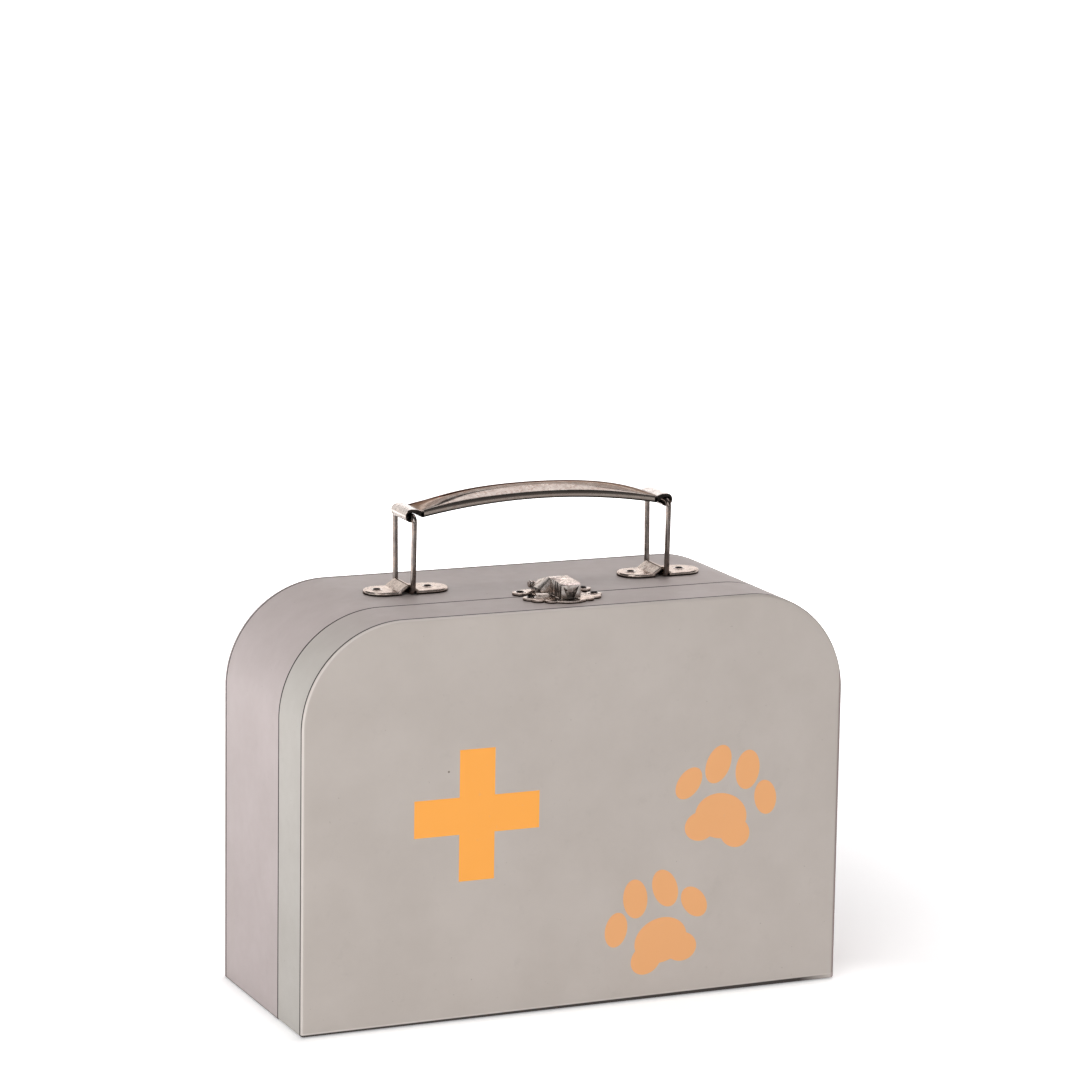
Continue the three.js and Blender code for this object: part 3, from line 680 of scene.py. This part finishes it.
def plate_columns():
    """Places round the plate's edge: each its centre's distance along X and a direction outwards."""
    left, right = [PLATE_LEAD + side * (PLATE_HALF_LENGTH - PLATE_RADIUS) for side in (-1, 1)]
    creases = [TENT_HALF, TENT_HALF - 0.5 * mm, TUNNEL_HALF + SLIVER, TUNNEL_HALF, 1.9 * mm, 1 * mm, 0.4 * mm]
    stops = [left, left + 2 * mm, -TENT_HALF - 0.5 * mm] + [-c for c in creases] + [0.0]
    stops += list(reversed(creases)) + [TENT_HALF + 0.5 * mm, 8.5 * mm, right]
    front = [(x, (0, -1)) for x in stops]
    turn = [math.radians(a) for a in range(-81, 90, 9)]
    far = [(right, (math.cos(a), math.sin(a))) for a in turn]
    near = [(left, (-math.cos(a), -math.sin(a))) for a in turn]
    return front + far + [(x, (0, 1)) for x in reversed(stops)] + near


def handle_plate(name, ridge_x, materials):
    """The plate's skin as rings, from the middle of its underside round the edge to the middle of its top."""
    columns = plate_columns()
    under = PLATE_HEIGHT - PLATE_SHEET

    def tented(x, straight):
        return straight and abs(x) < TENT_HALF

    def roof(x):
        return TUNNEL_TOP - TENT_SLOPE * abs(x)

    def foot(x, straight):
        return roof(x) if straight and abs(x) <= TUNNEL_HALF else 0.0

    def ceiling(x, straight):
        return max(roof(x), under) if tented(x, straight) else under

    def top(x, straight):
        return tent_height(x) if tented(x, straight) else PLATE_HEIGHT

    def ring(inset, height, s=0.0, c=0.0):
        """The edge drawn in by the inset, and by shares of its own bend down and in."""
        made = []
        for x, way in columns:
            straight = abs(way[1]) > 0.999
            bend = TENT_EDGE if tented(x, straight) else PLATE_BEND
            reach = PLATE_RADIUS - inset - bend * c
            made.append((ridge_x + x + way[0] * reach, HANDLE_Y + way[1] * reach,
                         CASE_TOP + height(x, straight) - bend * s))
        return made

    rings = [ring(inset, ceiling) for inset in (PLATE_RADIUS, PLATE_RADIUS / 2, PLATE_SHEET)]
    rings += [ring(PLATE_SHEET, foot), ring(0, foot)]
    rings += [ring(0, top, s, c) for s, c in ROUND]
    rings += [ring(inset, top) for inset in (1.0 * mm, 2.5 * mm, 5 * mm, PLATE_RADIUS)]
    # The underside, the tunnel's ceiling and the inner face of the turned edge take the painted shade of the inside
    # steel.
    return loft(name, rings, materials, pick=lambda i, j: 1 if i < 3 else 0)


# Painted shade: near-black steel for faces that lie in shade: the plates' undersides and tunnels, the rivets' collars
# and bores, the grip's inside and lowest edges, and the tabs' inner faces and front cut edges.
shaded_inside_steel = mottled("inside steel", (0.55, 1.0), (380, 4.0, 0.65, 0.35, 0.65), INSIDE_SHADE_TONES, (1500, 3.0, 0.6),
                       0.4, 0.05 * mm)
# Painted shadow: the plate's turned-down edge goes near-black where it meets the case.
pressed_nickel = nickel("pressed nickel", 420, 0.13, edge=WARM_EDGE, foot=CASE_TOP + 0.75 * mm)
for word, side in (("left", -1), ("right", 1)):
    ridge = HANDLE_X + side * LINK_HALF_SPACING + RIDGE_OFFSET
    plate = handle_plate(word + "_plate", ridge, [pressed_nickel, shaded_inside_steel])
    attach(plate, "base")
    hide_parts(word + "_handle_plate")


# Rivets and washers
# Tubular rivets, nickel-plated: a flat head with a raised collar round its bore, and a tail spread over a washer
# inside. Four hold the handle plates, two the base plate of the catch and two its strike plate.

SHANK = 1.5 * mm
BORE = 1.25 * mm
BORE_START = 9
COLLAR = 1.6 * mm
COLLAR_HEIGHT = 0.45 * mm
HEAD = 2.5 * mm
HEAD_EDGE = 0.12 * mm
TAIL = 2.3 * mm
TAIL_HEIGHT = 0.6 * mm
WASHER = 0.6 * mm
WASHER_BORE = 1.8 * mm
WASHER_EDGE = 0.12 * mm
ROUND_STEPS = 28
CATCH_X = 0.5 * mm
CATCH_SHEET = 1.2 * mm
EAR_X = 14.7 * mm
STRIKE_EAR_Y = SEAM - 8 * mm
BASE_EAR_Y = SEAM + 3.6 * mm
RIVET_OFFSET = 11.7 * mm


def turned(name, profile, materials, pick=None):
    """A closed profile of radius and height, turned round the Z axis."""
    rings = []
    for i in range(ROUND_STEPS):
        angle = 2 * math.pi * i / ROUND_STEPS
        rings.append([(r * math.cos(angle), r * math.sin(angle), z) for r, z in profile])
    return loft(name, rings, materials, looped=True, pick=pick)


def rivet_profile(grip):
    """The rivet's wall, from its spread tail to the rolled mouth of its bore. Zero is under the head."""
    tail = [(BORE, -grip - TAIL_HEIGHT), (TAIL - 0.2 * mm, -grip - TAIL_HEIGHT), (TAIL, -grip - TAIL_HEIGHT / 2),
            (TAIL, -grip), (SHANK, -grip)]
    head = [(SHANK, 0), (HEAD, 0), (HEAD, HEAD_EDGE * 0.6), (HEAD - 0.1 * mm, HEAD_EDGE)]
    mouth = [(COLLAR + 0.12 * mm, HEAD_EDGE + 0.05 * mm)]
    middle, half = (BORE + COLLAR) / 2, (COLLAR - BORE) / 2
    for i in range(7):
        angle = math.pi * i / 6
        mouth.append((middle + half * math.cos(angle), COLLAR_HEIGHT - half * (1 - math.sin(angle))))
    return tail + head + mouth


def washer_profile(outer):
    return [(WASHER_BORE, -WASHER), (outer - WASHER_EDGE, -WASHER), (outer, WASHER_EDGE - WASHER),
            (outer, -WASHER_EDGE), (outer - WASHER_EDGE, 0), (WASHER_BORE, 0)]


def fastening_tree():
    """Geometry nodes that set a fastener on each point, turned by chance, and make one mesh of them."""
    inputs = {"Places": "Geometry", "Fastener": "Object", "Greatest turn": "Float", "Seed": "Int",
              "Finish": "Material"}
    tree, entry, leave = start_group("fasteners", "GeometryNodeTree", inputs, ("Fasteners", "Geometry"))
    form = node(tree, "GeometryNodeObjectInfo", {"Object": entry["Fastener"]}, transform_space="ORIGINAL")
    chance = node(tree, "FunctionNodeRandomValue", {3: entry["Greatest turn"], "Seed": entry["Seed"]})
    turn = node(tree, "ShaderNodeCombineXYZ", {"Z": chance.outputs[1]}).outputs[0]
    euler = node(tree, "FunctionNodeEulerToRotation", {0: turn}).outputs[0]
    set_on = node(tree, "GeometryNodeInstanceOnPoints",
                  {"Points": entry["Places"], "Instance": form.outputs["Geometry"], "Rotation": euler})
    real = node(tree, "GeometryNodeRealizeInstances", {0: set_on.outputs[0]})
    plated = node(tree, "GeometryNodeMaterialSelection", {0: entry["Finish"]}).outputs[0]
    done = node(tree, "GeometryNodeSetMaterial",
                {"Geometry": real.outputs[0], "Selection": plated, "Material": entry["Finish"]})
    tree.links.new(done.outputs[0], leave[0])
    return tree


def grow(name, base_mesh, tree, values):
    """Runs a tree on a mesh and keeps the result as a plain mesh."""
    carrier = new_piece(name, base_mesh)
    modifier = carrier.modifiers.new("grow", "NODES")
    modifier.node_group = tree
    names = {item.name: item.identifier for item in tree.interface.items_tree
             if item.item_type == "SOCKET" and item.in_out == "INPUT"}
    for label, value in values.items():
        modifier[names[label]] = value
    apply_modifier(carrier, modifier).name = name
    return carrier


fasteners = fastening_tree()
rivet_nickel = nickel("rivet nickel", 700, 0.4)
ridges = [HANDLE_X + side * LINK_HALF_SPACING + RIDGE_OFFSET for side in (-1, 1)]
handle_places = [(ridge + way * RIVET_OFFSET, HANDLE_Y) for ridge in ridges for way in (-1, 1)]
ears = (CATCH_X - EAR_X, CATCH_X + EAR_X)
for name, body, places, sheet_top, washer_radius, seed, nodes in (
    ("handle", "base", handle_places, PLATE_HEIGHT, 3.8 * mm, 3,
     [side + "_handle_" + end for side in ("left", "right") for end in ("outer", "inner")]),
    ("catch_base", "base", [(x, BASE_EAR_Y) for x in ears], CATCH_SHEET, 3.2 * mm, 5,
     ["left_catch_base", "right_catch_base"]),
    ("strike", "lid", [(x, STRIKE_EAR_Y) for x in ears], CATCH_SHEET, 3.2 * mm, 7, ["left_strike", "right_strike"]),
):
    # The rolled collar and the bore take the painted shade of the inside steel.
    rivet = turned("form", rivet_profile(sheet_top + BOARD + WASHER), [rivet_nickel, shaded_inside_steel],
                   lambda i, j: 1 if j >= BORE_START else 0)
    washer = turned("form", washer_profile(washer_radius), [rivet_nickel])
    for suffix, form, height in (("_rivet", rivet, CASE_TOP + sheet_top), ("_washer", washer, CASE_TOP - BOARD)):
        spots = plain_mesh(name + suffix, [(x, y, height) for x, y in places], [], [])
        values = {"Fastener": form, "Greatest turn": 2 * math.pi, "Seed": seed, "Finish": rivet_nickel}
        fastener = grow(name + suffix + "s", spots, fasteners, values)
        bpy.data.objects.remove(form)
        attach(fastener, body)
        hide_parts(*[word + suffix for word in nodes])


# Wire links
# Each is one length of nickel-plated wire bent into a frame, its two ends butted under the plate's tent.

WIRE = 1.15 * mm
WIRE_BEND = 2.6 * mm
LINK_FOOT_Z = CASE_TOP + 1.5 * mm
LINK_HEIGHT = 32.9 * mm
LINK_FOOT_HALF = 10.25 * mm
LINK_HEAD_HALF = 11.2 * mm
LINK_BUTT = 0.2 * mm


def wire_tree():
    """Geometry nodes that round the corners of a bent line and draw a wire along it."""
    inputs = {"Line": "Geometry", "Wire radius": "Float", "Bend radius": "Float", "Bend steps": "Int",
              "Round steps": "Int", "Finish": "Material"}
    tree, entry, leave = start_group("bent wire", "GeometryNodeTree", inputs, ("Wire", "Geometry"))
    line = node(tree, "GeometryNodeMeshToCurve", {"Mesh": entry["Line"]})
    bent = node(tree, "GeometryNodeFilletCurve",
                {"Curve": line.outputs[0], "Radius": entry["Bend radius"], "Count": entry["Bend steps"]}, mode="POLY")
    ring = node(tree, "GeometryNodeCurvePrimitiveCircle",
                {"Resolution": entry["Round steps"], "Radius": entry["Wire radius"]}, mode="RADIUS")
    drawn = node(tree, "GeometryNodeCurveToMesh",
                 {"Curve": bent.outputs[0], "Profile Curve": ring.outputs[0], "Fill Caps": True})
    real = node(tree, "GeometryNodeRealizeInstances", {0: drawn.outputs[0]})
    done = node(tree, "GeometryNodeSetMaterial", {"Geometry": real.outputs[0], "Material": entry["Finish"]})
    tree.links.new(done.outputs[0], leave[0])
    return tree


drawn_wire = wire_tree()
wire_nickel = nickel("wire nickel", 200, 0.15, WIRE_NICKEL, (0.08, 0.15), DARK_EDGE)
for word, side in (("left", -1), ("right", 1)):
    x = HANDLE_X + side * LINK_HALF_SPACING
    half_frame = [(LINK_BUTT, 0), (LINK_FOOT_HALF, 0), (LINK_HEAD_HALF, LINK_HEIGHT)]
    corners = half_frame + [(-y, z) for y, z in reversed(half_frame)]
    corners = [(x, HANDLE_Y + y, LINK_FOOT_Z + z) for y, z in corners]
    line = plain_mesh(word + "_line", corners, [(i, i + 1) for i in range(5)], [])
    values = {"Wire radius": WIRE, "Bend radius": WIRE_BEND, "Bend steps": 8, "Round steps": 20,
              "Finish": wire_nickel}
    link = grow(word + "_link", line, drawn_wire, values)
    finish_mesh(link.data, [])
    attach(link, word + "_link")
    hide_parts(word + "_wire_link")


# Grip
# One pressed steel sheet, nickel-plated: arched along its length and crowned across it, with both long edges
# turned down, and at each end a flat tab rolled round the head of its wire link.

GRIP_END = 55.6 * mm
GRIP_HALF_WIDTH = 8.5 * mm
GRIP_SHEET = 0.6 * mm
GRIP_RISE = 4.75 * mm
GRIP_CROWN = 3.4 * mm
GRIP_LIP = 2.6 * mm
GRIP_LIP_GROWTH = 0.5 * mm
GRIP_CORNER = 1.1 * mm
GRIP_END_RAMP = 0.7 * mm
GRIP_STEPS = 72
EDGE_STEPS = 8
GRIP_Z = LINK_FOOT_Z + LINK_HEIGHT
BODY_FOOT = 2.05 * mm
ARCH = (GRIP_END ** 2 + GRIP_RISE ** 2) / (2 * GRIP_RISE)
ARCH_CENTRE = BODY_FOOT + GRIP_RISE - ARCH
TAB_START = GRIP_END - 1.5 * mm
TAB_SHEET = 0.9 * mm
TAB_EDGE = 0.15 * mm
TAB_DROPS = (1.9 * mm, 1.9 * mm, 1.3 * mm, 1.0 * mm)
ROLL_OUTER = 2.85 * mm
ROLL_SHIFT = 0.25 * mm
ROLL_DROP = 0.6 * mm
ROLL_LAST = -150
ROLL_STEPS = 26


def grip_section(x):
    """The sheet's cut across the grip at one place along it: over the outside, and back along the inside."""
    share = abs(x) / GRIP_END
    arch = GRIP_Z + ARCH_CENTRE + math.sqrt(ARCH ** 2 - x * x)
    crown = GRIP_CROWN * (1 - share ** 4)
    ramp = min(1.0, (GRIP_END - abs(x)) / GRIP_END_RAMP)
    shortest = GRIP_SHEET + GRIP_CORNER * 0.7
    lip = shortest + (GRIP_LIP + GRIP_LIP_GROWTH * share ** 2 - shortest) * ramp

    def skin(depth):
        reach = GRIP_HALF_WIDTH - depth
        bend = GRIP_CORNER - depth
        half = [(reach, -lip), (reach, -lip * 0.65 - bend * 0.35)]
        half += [(reach - bend * c, -depth - bend * s) for s, c in ROUND]
        half += [((reach - bend) * (1 - i / EDGE_STEPS), -depth) for i in range(1, EDGE_STEPS + 1)]
        return [(-y, z) for y, z in half] + list(reversed(half[:-1]))

    loop = skin(0) + list(reversed(skin(GRIP_SHEET)))
    return [(HANDLE_X + x, HANDLE_Y + y, arch + z + crown * (1 - (y / GRIP_HALF_WIDTH) ** 2)) for y, z in loop]


def tab_ring(side, centre, way, drop):
    """The sheet's cut across a tab, from its middle, its outer face's direction and the drop of its turned edge."""
    half = TAB_SHEET / 2
    loop = []
    for y, t in ((-1, 1), (1, 1), (1, -1), (-1, -1)):
        corner = [(y * (GRIP_HALF_WIDTH - TAB_EDGE), t * half), (y * GRIP_HALF_WIDTH, t * (half - TAB_EDGE))]
        loop += corner if y * t > 0 else reversed(corner)
    return [(HANDLE_X + side * (centre[0] + way[0] * t), HANDLE_Y + y,
             GRIP_Z + centre[1] + way[1] * t - (drop if t < 0 else 0)) for y, t in loop]


def grip_tab(side):
    """The rings of one tab, from inside the grip's end over the link's head to the end of the roll."""
    middle = ROLL_OUTER - TAB_SHEET / 2
    low = BODY_FOOT - TAB_SHEET / 2 - 0.04 * mm
    spots = [(TAB_START, low), (GRIP_END - 0.4 * mm, low),
             (GRIP_END + 1.2 * mm, (low + middle) / 2 + 0.06 * mm), (GRIP_END + 2.4 * mm, middle - 0.02 * mm)]
    rings = [tab_ring(side, spot, (0, 1), drop) for spot, drop in zip(spots, TAB_DROPS)]
    for i in range(ROLL_STEPS + 1):
        angle = math.radians(90 + (ROLL_LAST - 90) * i / ROLL_STEPS)
        way = (math.cos(angle), math.sin(angle))
        centre = (LINK_HALF_SPACING + ROLL_SHIFT + middle * way[0], middle * way[1])
        rings.append(tab_ring(side, centre, way, ROLL_DROP * max(0.0, 1 - i / 8)))
    return rings


def draw_streaks(material, stretch, scale, limits, colour):
    """Streaks drawn out along one way: tarnish from the polishing on the grip, painted dark reflection on the lever's
    flank.
    """
    tree = material.node_tree
    tone = tree.nodes["Principled BSDF"].inputs["Base Color"].links[0].from_socket
    place = node(tree, "ShaderNodeTexCoord").outputs["Object"]
    tone = blend(patches(vector("MULTIPLY", place, stretch), scale, 3.0, 0.6, *limits), tone, colour)
    feed("Base Color", tone)
    return place, tone


def darken_crown(material):
    """Streaks of tarnish along the grip, a painted dark reflection behind the middle of its crown, and darker turned
    edges.
    """
    place, tone = draw_streaks(material, (0.04, 1.0, 0.3), 620, (0.50, 0.66, 0, 0.7), TARNISH)
    x, y, _ = coordinates(place)
    # Painted reflection: a near-black streak just behind the middle of the crown.
    start = spread(apart(x, HANDLE_X), 0.75 * GRIP_END, GRIP_END, HANDLE_Y - 0.9 * mm, HANDLE_Y + 5.5 * mm)
    past = reckon("SUBTRACT", y, start)
    dark = times(spread(past, -0.9 * mm, -0.1 * mm, 0, 0.95), spread(past, 1.2 * mm, 2.2 * mm, 1, 0))
    tone = blend(dark, tone, SHADOWED)
    edge = spread(apart(y, HANDLE_Y), GRIP_HALF_WIDTH - 0.6 * mm, GRIP_HALF_WIDTH - 0.1 * mm, 0, 0.6)
    feed("Base Color", blend(edge, tone, TARNISH))


grip_nickel = nickel("grip nickel", 60, 0.2, SMOKY_NICKEL, (0.08, 0.16), DARK_EDGE)
darken_crown(grip_nickel)
tab_nickel = nickel("tab nickel", 900, 0.6)
finishes = [grip_nickel, tab_nickel, shaded_inside_steel]
stations = [-GRIP_END + 2 * GRIP_END * i / GRIP_STEPS for i in range(GRIP_STEPS + 1)]
stations = sorted(stations + [way * (GRIP_END - GRIP_END_RAMP) for way in (-1, 1)])
OUTER_COUNT = 2 * (2 + len(ROUND) + EDGE_STEPS) - 1


def body_finish(i, j):
    """Nickel outside, painted shade inside and along the two lowest edges."""
    return 0 if 0 < j < OUTER_COUNT - 2 else 2


def tab_finish(i, j):
    """Painted shade on the face that touches the wire and on the front cut edge."""
    return 2 if j in (5, 6, 7) else 1


body_sheet = loft("grip_sheet", [grip_section(x) for x in stations], finishes, pick=body_finish)
tabs = [loft("grip_tab", grip_tab(side), finishes, pick=tab_finish) for side in (-1, 1)]
work = bmesh.new()
for part in [body_sheet] + tabs:
    work.from_mesh(part.data)
    bpy.data.objects.remove(part)
grip = finished_piece("grip", work, finishes)
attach(grip, "handle_grip")
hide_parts("handle_grip")


# Catch
# Pressed nickel-plated steel. The strike plate on the lid is a scalloped fan with a tongue that stands up. On the
# base, a plate with two lugs carries a pin, the lever that closes over the tongue, and a leaf spring under it.

PLATE_SOFT = 0.3 * mm
BASE_SOFT = 0.2 * mm
LEVER_SOFT = 0.18 * mm
PIN_SOFT = 0.12 * mm
SPRING_SOFT = 0.08 * mm
TONGUE_FOOT = CASE_TOP + 1.7 * mm
HOOD_HALF = 1 * mm


def pressed_copy(name, source, bend, angle, materials, pick=None):
    """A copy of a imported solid, its edges softened as a press leaves them. Pick gives a face's material number."""
    work = bmesh.new()
    work.from_mesh(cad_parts[source].data)
    bmesh.ops.remove_doubles(work, verts=work.verts, dist=0.003 * mm)
    bmesh.ops.dissolve_limit(work, angle_limit=math.radians(1.5), verts=work.verts, edges=work.edges)
    piece = new_piece(name, mesh_of(work, name))
    modifier = piece.modifiers.new("soft edges", "BEVEL")
    modifier.width = bend
    modifier.segments = 3
    modifier.limit_method = "ANGLE"
    modifier.angle_limit = math.radians(angle)
    modifier.use_clamp_overlap = True
    modifier.miter_outer = "MITER_ARC"
    softened = apply_modifier(piece, modifier)
    softened.materials.clear()
    shade(softened, materials)
    for face in softened.polygons:
        face.material_index = pick(face) if pick else 0
    return piece


def lever_finish(face):
    """Painted shade where the lever looks at its own middle or down, painted dark reflection in streaks on its left
    flank.
    """
    across = face.center.x - CATCH_X
    if face.normal.z < -0.5 or (abs(across) > HOOD_HALF and face.normal.x * across < -0.5 * abs(across)):
        return 1
    return 2 if face.normal.x < -0.3 and face.normal.z < 0.62 else 0


def strike_finish(face):
    """Painted shade on the tongue, which stands under the lever."""
    return int(face.center.z > TONGUE_FOOT)


def spring_strip(name):
    """Bare spring steel: grey, with rolling lines along the strip."""
    material, place = start_material(name, 0.35, 1.0)
    lines = noise(vector("MULTIPLY", place, (1.0, 0.05, 1.0)), 2400, 3.0, 0.6)
    dress(blend(lines, (0.30, 0.29, 0.28, 1), (0.45, 0.44, 0.42, 1)), lines, 0.3, 0.03 * mm)
    return material


lever_nickel = nickel("lever nickel", 330, 0.5, BRIGHT_NICKEL, edge=WARM_EDGE)
# Painted shade: near-black nickel for the lever's inward and downward faces and the tongue under it.
shaded_nickel = nickel("dark nickel", 330, 0.5, SHADED_NICKEL)
flank_nickel = nickel("flank nickel", 330, 0.5, BRIGHT_NICKEL)
# Painted dark reflection: streaks on the lever's left flank.
draw_streaks(flank_nickel, (1.0, 1.0, 0.12), 900, (0.41, 0.51, 0, 0.95), SHADOWED)
# Painted shadow: the catch plates go near-black along their foot.
plate_nickel = nickel("catch plate nickel", 330, 0.6, edge=WARM_EDGE, foot=CASE_TOP + 0.5 * mm)
spring_steel = spring_strip("spring steel")
lever_set = [lever_nickel, shaded_nickel, flank_nickel]
for name, source, body, bend, angle, finishes, pick, slot in (
    ("strike_plate", "catch_strike_plate", "lid", PLATE_SOFT, 50, [plate_nickel, shaded_nickel], strike_finish,
     "nickel"),
    ("hinge_plate", "catch_base_plate", "base", BASE_SOFT, 50, [plate_nickel], None, "nickel"),
    ("lever", "catch_lever", "catch_lever", LEVER_SOFT, 25, lever_set, lever_finish, "nickel"),
    ("hinge_pin", "catch_pin", "base", PIN_SOFT, 50, [lever_nickel], None, "nickel"),
    ("leaf_spring", "catch_spring", "base", SPRING_SOFT, 20, [spring_steel], None, "spring_steel"),
):
    pressed = pressed_copy(name, source, bend, angle, finishes, pick)
    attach(pressed, body)
    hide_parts(source)


# Floor and backdrop
# A seamless sheet of white paper that runs back from the case and curves up to a wall, which is lit from within.

SWEEP_WAY = Vector((0.39, 0.92, 0)).normalized()
SWEEP_NEAR = -7.0
SWEEP_FAR = 2.5
SWEEP_BEND = 0.6
SWEEP_TOP = 1.75
SWEEP_HALF_WIDTH = 6.0
SWEEP_ACROSS = SWEEP_WAY.cross(Vector((0, 0, 1)))
WALL_HALF_WIDTH = 1.5
WALL_GLOW = 1.15
NEAR_GLOW = 0.5
CONTACT_SHADOW_GLOW = 0.32
SHADED_GLOW = 0.2
FAR_GLOW = 0.8
CARD_GLOW = 2.8
CARD_MIDDLE = -1.15


def studio_paper():
    """White paper that glows softly round the case and fully at the wall, with painted shadow at the case's foot and
    on its right. The metal reflects its bright patch at the left."""
    material, place = start_material("studio paper", 0.9, specular=0.0)
    tooth = noise(place, 40, 3.0, 0.6)
    feed("Base Color", blend(tooth, (0.92, 0.92, 0.92, 1), (0.94, 0.94, 0.94, 1)))
    place.id_data.nodes["Principled BSDF"].inputs["Emission Color"].default_value = (1, 1, 1, 1)
    x, y, z = coordinates(place)
    out_x = most(reckon("SUBTRACT", apart(x), CASE_HALF), 0)
    out_y = most(reckon("SUBTRACT", apart(y), BACK_FACE), 0)
    away = vector("LENGTH", node(place.id_data, "ShaderNodeCombineXYZ", {0: out_x, 1: out_y}).outputs[0])
    # Painted contact shadow: the glow is lower right at the case's foot.
    contact_shadow = spread(away, 0, 5 * mm, CONTACT_SHADOW_GLOW, NEAR_GLOW)
    near = reckon("MINIMUM", contact_shadow, spread(away, 0.3, 0.95, NEAR_GLOW, 0.1))
    # Painted shadow: less glow beside the case on its right, from its front corner back.
    right_shadow = most(spread(x, 0.123, 0.128, NEAR_GLOW, SHADED_GLOW), spread(x, 0.14, 0.26, SHADED_GLOW, NEAR_GLOW))
    near = reckon("MINIMUM", near, most(right_shadow, spread(y, -0.08, -0.02, NEAR_GLOW, SHADED_GLOW)))
    near = most(near, spread(away, 1.3, 2.0, 0, FAR_GLOW))
    lateral = vector("DOT_PRODUCT", place, SWEEP_ACROSS)
    along = vector("DOT_PRODUCT", place, SWEEP_WAY)
    card = times(spread(apart(lateral, CARD_MIDDLE), 0.4, 0.7, CARD_GLOW, 0), spread(apart(along), 0.9, 1.5, 1, 0))
    aside = spread(apart(lateral), WALL_HALF_WIDTH - 0.2, WALL_HALF_WIDTH + 0.3, 1, 0)
    behind = times(spread(along, 0.05, 0.8, 0, WALL_GLOW), aside)
    behind = times(behind, spread(z, 0.32, 0.5, 1, 0.72))
    feed("Emission Strength", most(most(near, card), behind))
    return material


sweep = [(SWEEP_NEAR, 0.0), (0.0, 0.0), (SWEEP_FAR - SWEEP_BEND, 0.0)]
sweep += [(SWEEP_FAR - SWEEP_BEND + x, SWEEP_BEND + z) for x, z in arc((0, 0), SWEEP_BEND, -90, 0, 16)[1:]]
sweep.append((SWEEP_FAR, SWEEP_TOP))
across = SWEEP_ACROSS * SWEEP_HALF_WIDTH
points = []
for along, height in sweep:
    spot = SWEEP_WAY * along + Vector((0, 0, height))
    points += [spot - across, spot + across]
sheets = [(2 * i, 2 * i + 1, 2 * i + 3, 2 * i + 2) for i in range(len(sweep) - 1)]
floor_mesh = plain_mesh("studio_floor", points, [], sheets)
floor_mesh.shade_smooth()
floor_mesh.materials.append(studio_paper())
floor = new_piece("studio_floor", floor_mesh)
floor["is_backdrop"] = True


# Lights
# A large soft box at the front left, a weak one in front and two above and behind, in a surround that is pale at
# the horizon and dark overhead.

PALE_ROSE = (1.0, 0.93, 0.945)
SKY = ((0.0, 0.6), (0.08, 0.42), (0.24, 0.25), (0.45, 0.18), (0.7, 0.12))


def soft_box(name, place, aim, width, height, power, colour=(1, 1, 1)):
    light = bpy.data.lights.new(name, "AREA")
    light.shape = "RECTANGLE"
    light.size, light.size_y = width, height
    light.energy = power
    light.color = colour
    lamp = new_piece(name, light)
    lamp.location = place
    lamp.rotation_euler = (Vector(aim) - Vector(place)).to_track_quat("-Z", "Y").to_euler()


soft_box("main box", (-1.02, -0.92, 0.92), (0, 0, 0.1), 1.1, 1.0, 11.6, (1.0, 0.99, 0.99))
soft_box("front box", (-0.22, -2.1, 0.76), (0, 0, 0.1), 0.9, 0.7, 4.3)
soft_box("back box", (0.656, 1.18, 1.23), (0, 0, 0.2), 1.2, 0.78, 3.7, PALE_ROSE)
soft_box("top box", (0.58, 0.24, 1.56), (0, 0, 0.2), 1.2, 0.75, 5.6, PALE_ROSE)

world = bpy.data.worlds.new("studio")
world.use_nodes = True
tree = world.node_tree
way = node(tree, "ShaderNodeTexCoord").outputs["Generated"]
ramp = node(tree, "ShaderNodeValToRGB", {"Fac": coordinates(way)["Z"]})
while len(ramp.color_ramp.elements) < len(SKY):
    ramp.color_ramp.elements.new(0.5)
for element, (position, level) in zip(ramp.color_ramp.elements, SKY):
    element.position = position
    element.color = (level, level, level, 1)
tree.links.new(ramp.outputs["Color"], tree.nodes["Background"].inputs["Color"])
tree.nodes["Background"].inputs["Strength"].default_value = 1.0
bpy.context.scene.world = world
bpy.context.scene.view_settings.view_transform = "Standard"


# Camera
# A long lens from the front left, a little above the case and leaning slightly.

TARGET = Vector((1.68 * mm, 0, 196.04 * mm))
AZIMUTH = math.radians(-23.578)
ELEVATION = math.radians(10.92)
LEAN = math.radians(0.866)
DISTANCE = 1.87256
back = Vector((math.sin(AZIMUTH) * math.cos(ELEVATION), -math.cos(AZIMUTH) * math.cos(ELEVATION),
               math.sin(ELEVATION)))
level_right = (-back).cross(Vector((0, 0, 1))).normalized()
level_up = level_right.cross(-back)
right = math.cos(LEAN) * level_right + math.sin(LEAN) * level_up
upward = -math.sin(LEAN) * level_right + math.cos(LEAN) * level_up
lens = bpy.data.cameras.new("camera")
lens.sensor_width = 36
lens.lens = 144.62
lens.clip_start, lens.clip_end = 0.05, 60
camera = new_piece("camera", lens)
turn = Matrix((right, upward, back)).transposed().to_4x4()
camera.matrix_world = Matrix.Translation(TARGET + back * DISTANCE) @ turn
bpy.context.scene.camera = camera

low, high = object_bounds()
